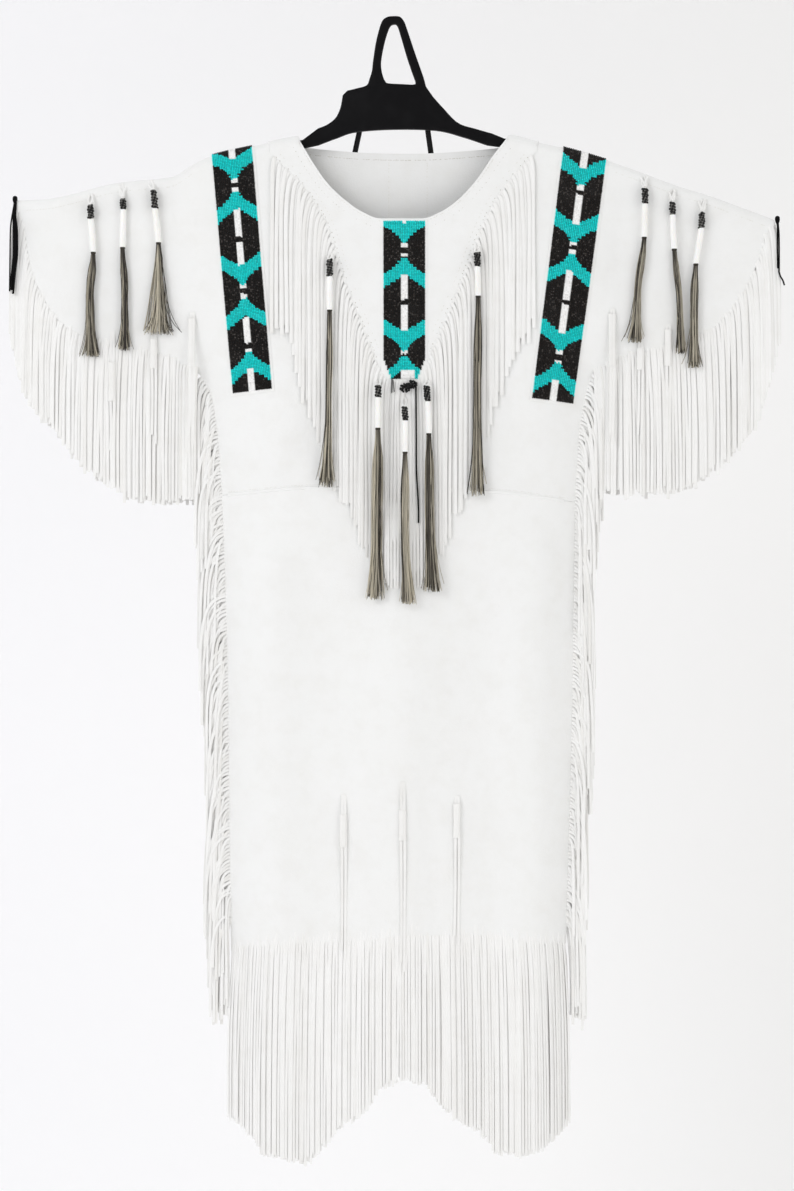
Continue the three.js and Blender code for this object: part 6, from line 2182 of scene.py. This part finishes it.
@dataclass
class Studio:
    """A pale sweep, soft light and the camera."""

    wall_y: float = 1.5
    floor_z: float = -1.95
    bend: float = 0.9
    aim: tuple = (0.0026, 0.0, -0.742)
    distance: float = 3.2
    lens: float = 74.4

    def build(self) -> None:
        """Set up the sweep, the lights, the world and the camera."""
        self.sweep()
        self.light("key", (-2.3, -2.6, 0.9), 1.9, 35.0, (0.975, 0.985, 1.0))
        self.light("fill", (2.4, -2.8, -0.4), 2.4, 16.0, (1.0, 0.985, 0.965))
        self.light("low", (0.0, -2.6, -1.5), 1.6, 3.6, (1.0, 1.0, 1.0))
        scene = bpy.context.scene
        scene.world = self.air()
        scene.view_settings.view_transform = "Standard"
        data = bpy.data.cameras.new("camera")
        data.lens, data.sensor_width, data.clip_end = self.lens, 36.0, 50.0
        scene.camera = bpy.data.objects.new("camera", data)
        scene.camera.location = (self.aim[0], self.aim[1] - self.distance, self.aim[2])
        scene.camera.rotation_euler = (math.pi / 2, 0.0, 0.0)
        bpy.context.collection.objects.link(scene.camera)

    @staticmethod
    def air() -> bpy.types.World:
        """Make the pale light all round, brighter from the front than from behind."""
        world = bpy.data.worlds.new("studio")
        world.use_nodes = True
        b = ShaderWork(world.node_tree)
        way = b.node("ShaderNodeSeparateXYZ", Vector=b.add("ShaderNodeTexCoord").outputs["Generated"])
        b.feed(world.node_tree.nodes["Background"], Color=(0.985, 0.99, 1.0, 1.0),
               Strength=b.range(way.node.outputs["Y"], -1.0, -0.45, 0.27, 0.87))
        return world

    def light(self, name: str, place: tuple, size: float, power: float, colour: tuple) -> None:
        """Add a soft light that faces the middle of the dress."""
        data = bpy.data.lights.new(name, "AREA")
        data.shape, data.size, data.energy, data.color = "DISK", size, power, colour
        lamp = bpy.data.objects.new(name, data)
        lamp.location = place
        away = np.array(self.aim) - np.array(place)
        lamp.rotation_euler = self.facing(away)
        bpy.context.collection.objects.link(lamp)

    @staticmethod
    def facing(away: Array) -> tuple[float, float, float]:
        """Give the turn that points a light's -Z along a direction."""
        x, y, z = away / np.linalg.norm(away)
        return (math.acos(-z), 0.0, math.atan2(y, x) - math.pi / 2)

    def sweep(self) -> None:
        """Make a seamless wall and floor that shows from its front only."""
        y, z, r = self.wall_y, self.floor_z, self.bend
        turn = np.linspace(0, math.pi / 2, 25)
        curve = [(y, 3.0), *((y - r + r * math.cos(a), z + r - r * math.sin(a)) for a in turn), (-6.0, z)]
        n = len(curve)
        points = [(x, *place) for x in (-6.0, 6.0) for place in curve]
        faces = [[i, i + 1, n + i + 1, n + i] for i in range(n - 1)]
        mesh = bpy.data.meshes.new("sweep")
        mesh.from_pydata(points, [], faces)
        mesh.shade_smooth()
        made = bpy.data.objects.new("backdrop", mesh)
        bpy.context.collection.objects.link(made)
        mesh.materials.append(self.paper())

    @staticmethod
    def paper() -> bpy.types.Material:
        """Make the backdrop's paper, clear when seen from behind, and painted darker and warmer towards +X as
        painted shade.
        """
        made = bpy.data.materials.new("backdrop_paper")
        made.use_nodes = True
        b = ShaderWork(made.node_tree)
        surface = made.node_tree.nodes["Principled BSDF"]
        place = b.node("ShaderNodeSeparateXYZ", Vector=b.add("ShaderNodeTexCoord").outputs["Object"])
        # Painted shade: the paper darkens and warms towards +X, the side away from the key light.
        tone = b.range(place.node.outputs["X"], -0.9, 0.9)
        b.feed(surface, Base_Color=b.blend(tone, (0.905, 0.90, 0.915, 1), (0.865, 0.86, 0.85, 1)),
               Roughness=0.95, Specular_IOR_Level=0.1, Emission_Color=(1.0, 0.995, 0.985, 1.0),
               Emission_Strength=0.13)
        behind = b.add("ShaderNodeNewGeometry").outputs["Backfacing"]
        choose = b.feed(b.add("ShaderNodeMixShader"), Fac=behind)
        b.join(surface.outputs["BSDF"], choose.inputs[1])
        b.join(b.node("ShaderNodeBsdfTransparent"), choose.inputs[2])
        b.feed(made.node_tree.nodes["Material Output"], Surface=choose.outputs[0])
        return made


# ---------------------------------------------------------------- the whole

def main() -> None:
    """Build every sub-assembly in order."""
    logging.basicConfig(level=logging.INFO, format="%(name)s %(message)s")
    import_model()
    shop = Workshop()
    Studio().build()
    Panels(shop).build()
    Bib(shop).build()
    BeadStrip(shop, "r", (-209, -481, -237, -174), (-158, -476, -185, -161), CHART_R, BIB_LOW + 0.9, True,
              seed=31).build()
    BeadStrip(shop, "l", (230, -494, 274, -174), (176, -488, 218, -160), CHART_L, BIB_LOW + 0.9, True,
              seed=32).build()
    CentreStrip(shop, "centre", (-15, -464, -15, -258), (39, -464, 39, -258), CHART_M, BIB_HIGH + 1.0, False,
                seed=33).build()
    for fringe in (SleeveFringe, BibFringe, SideFringe, HemFringe):
        fringe(shop).build()
    for number, row in enumerate(TASSELS):
        HairTassel(shop, row, 200 + number).build()
    for number, row in enumerate(TIES):
        ThongTie(shop, row, 300 + number).build()
    for rest in (CuffThongs, BeadDrop, Stitching, Hanger):
        rest(shop).build()


if __name__ == "__main__":
    main()
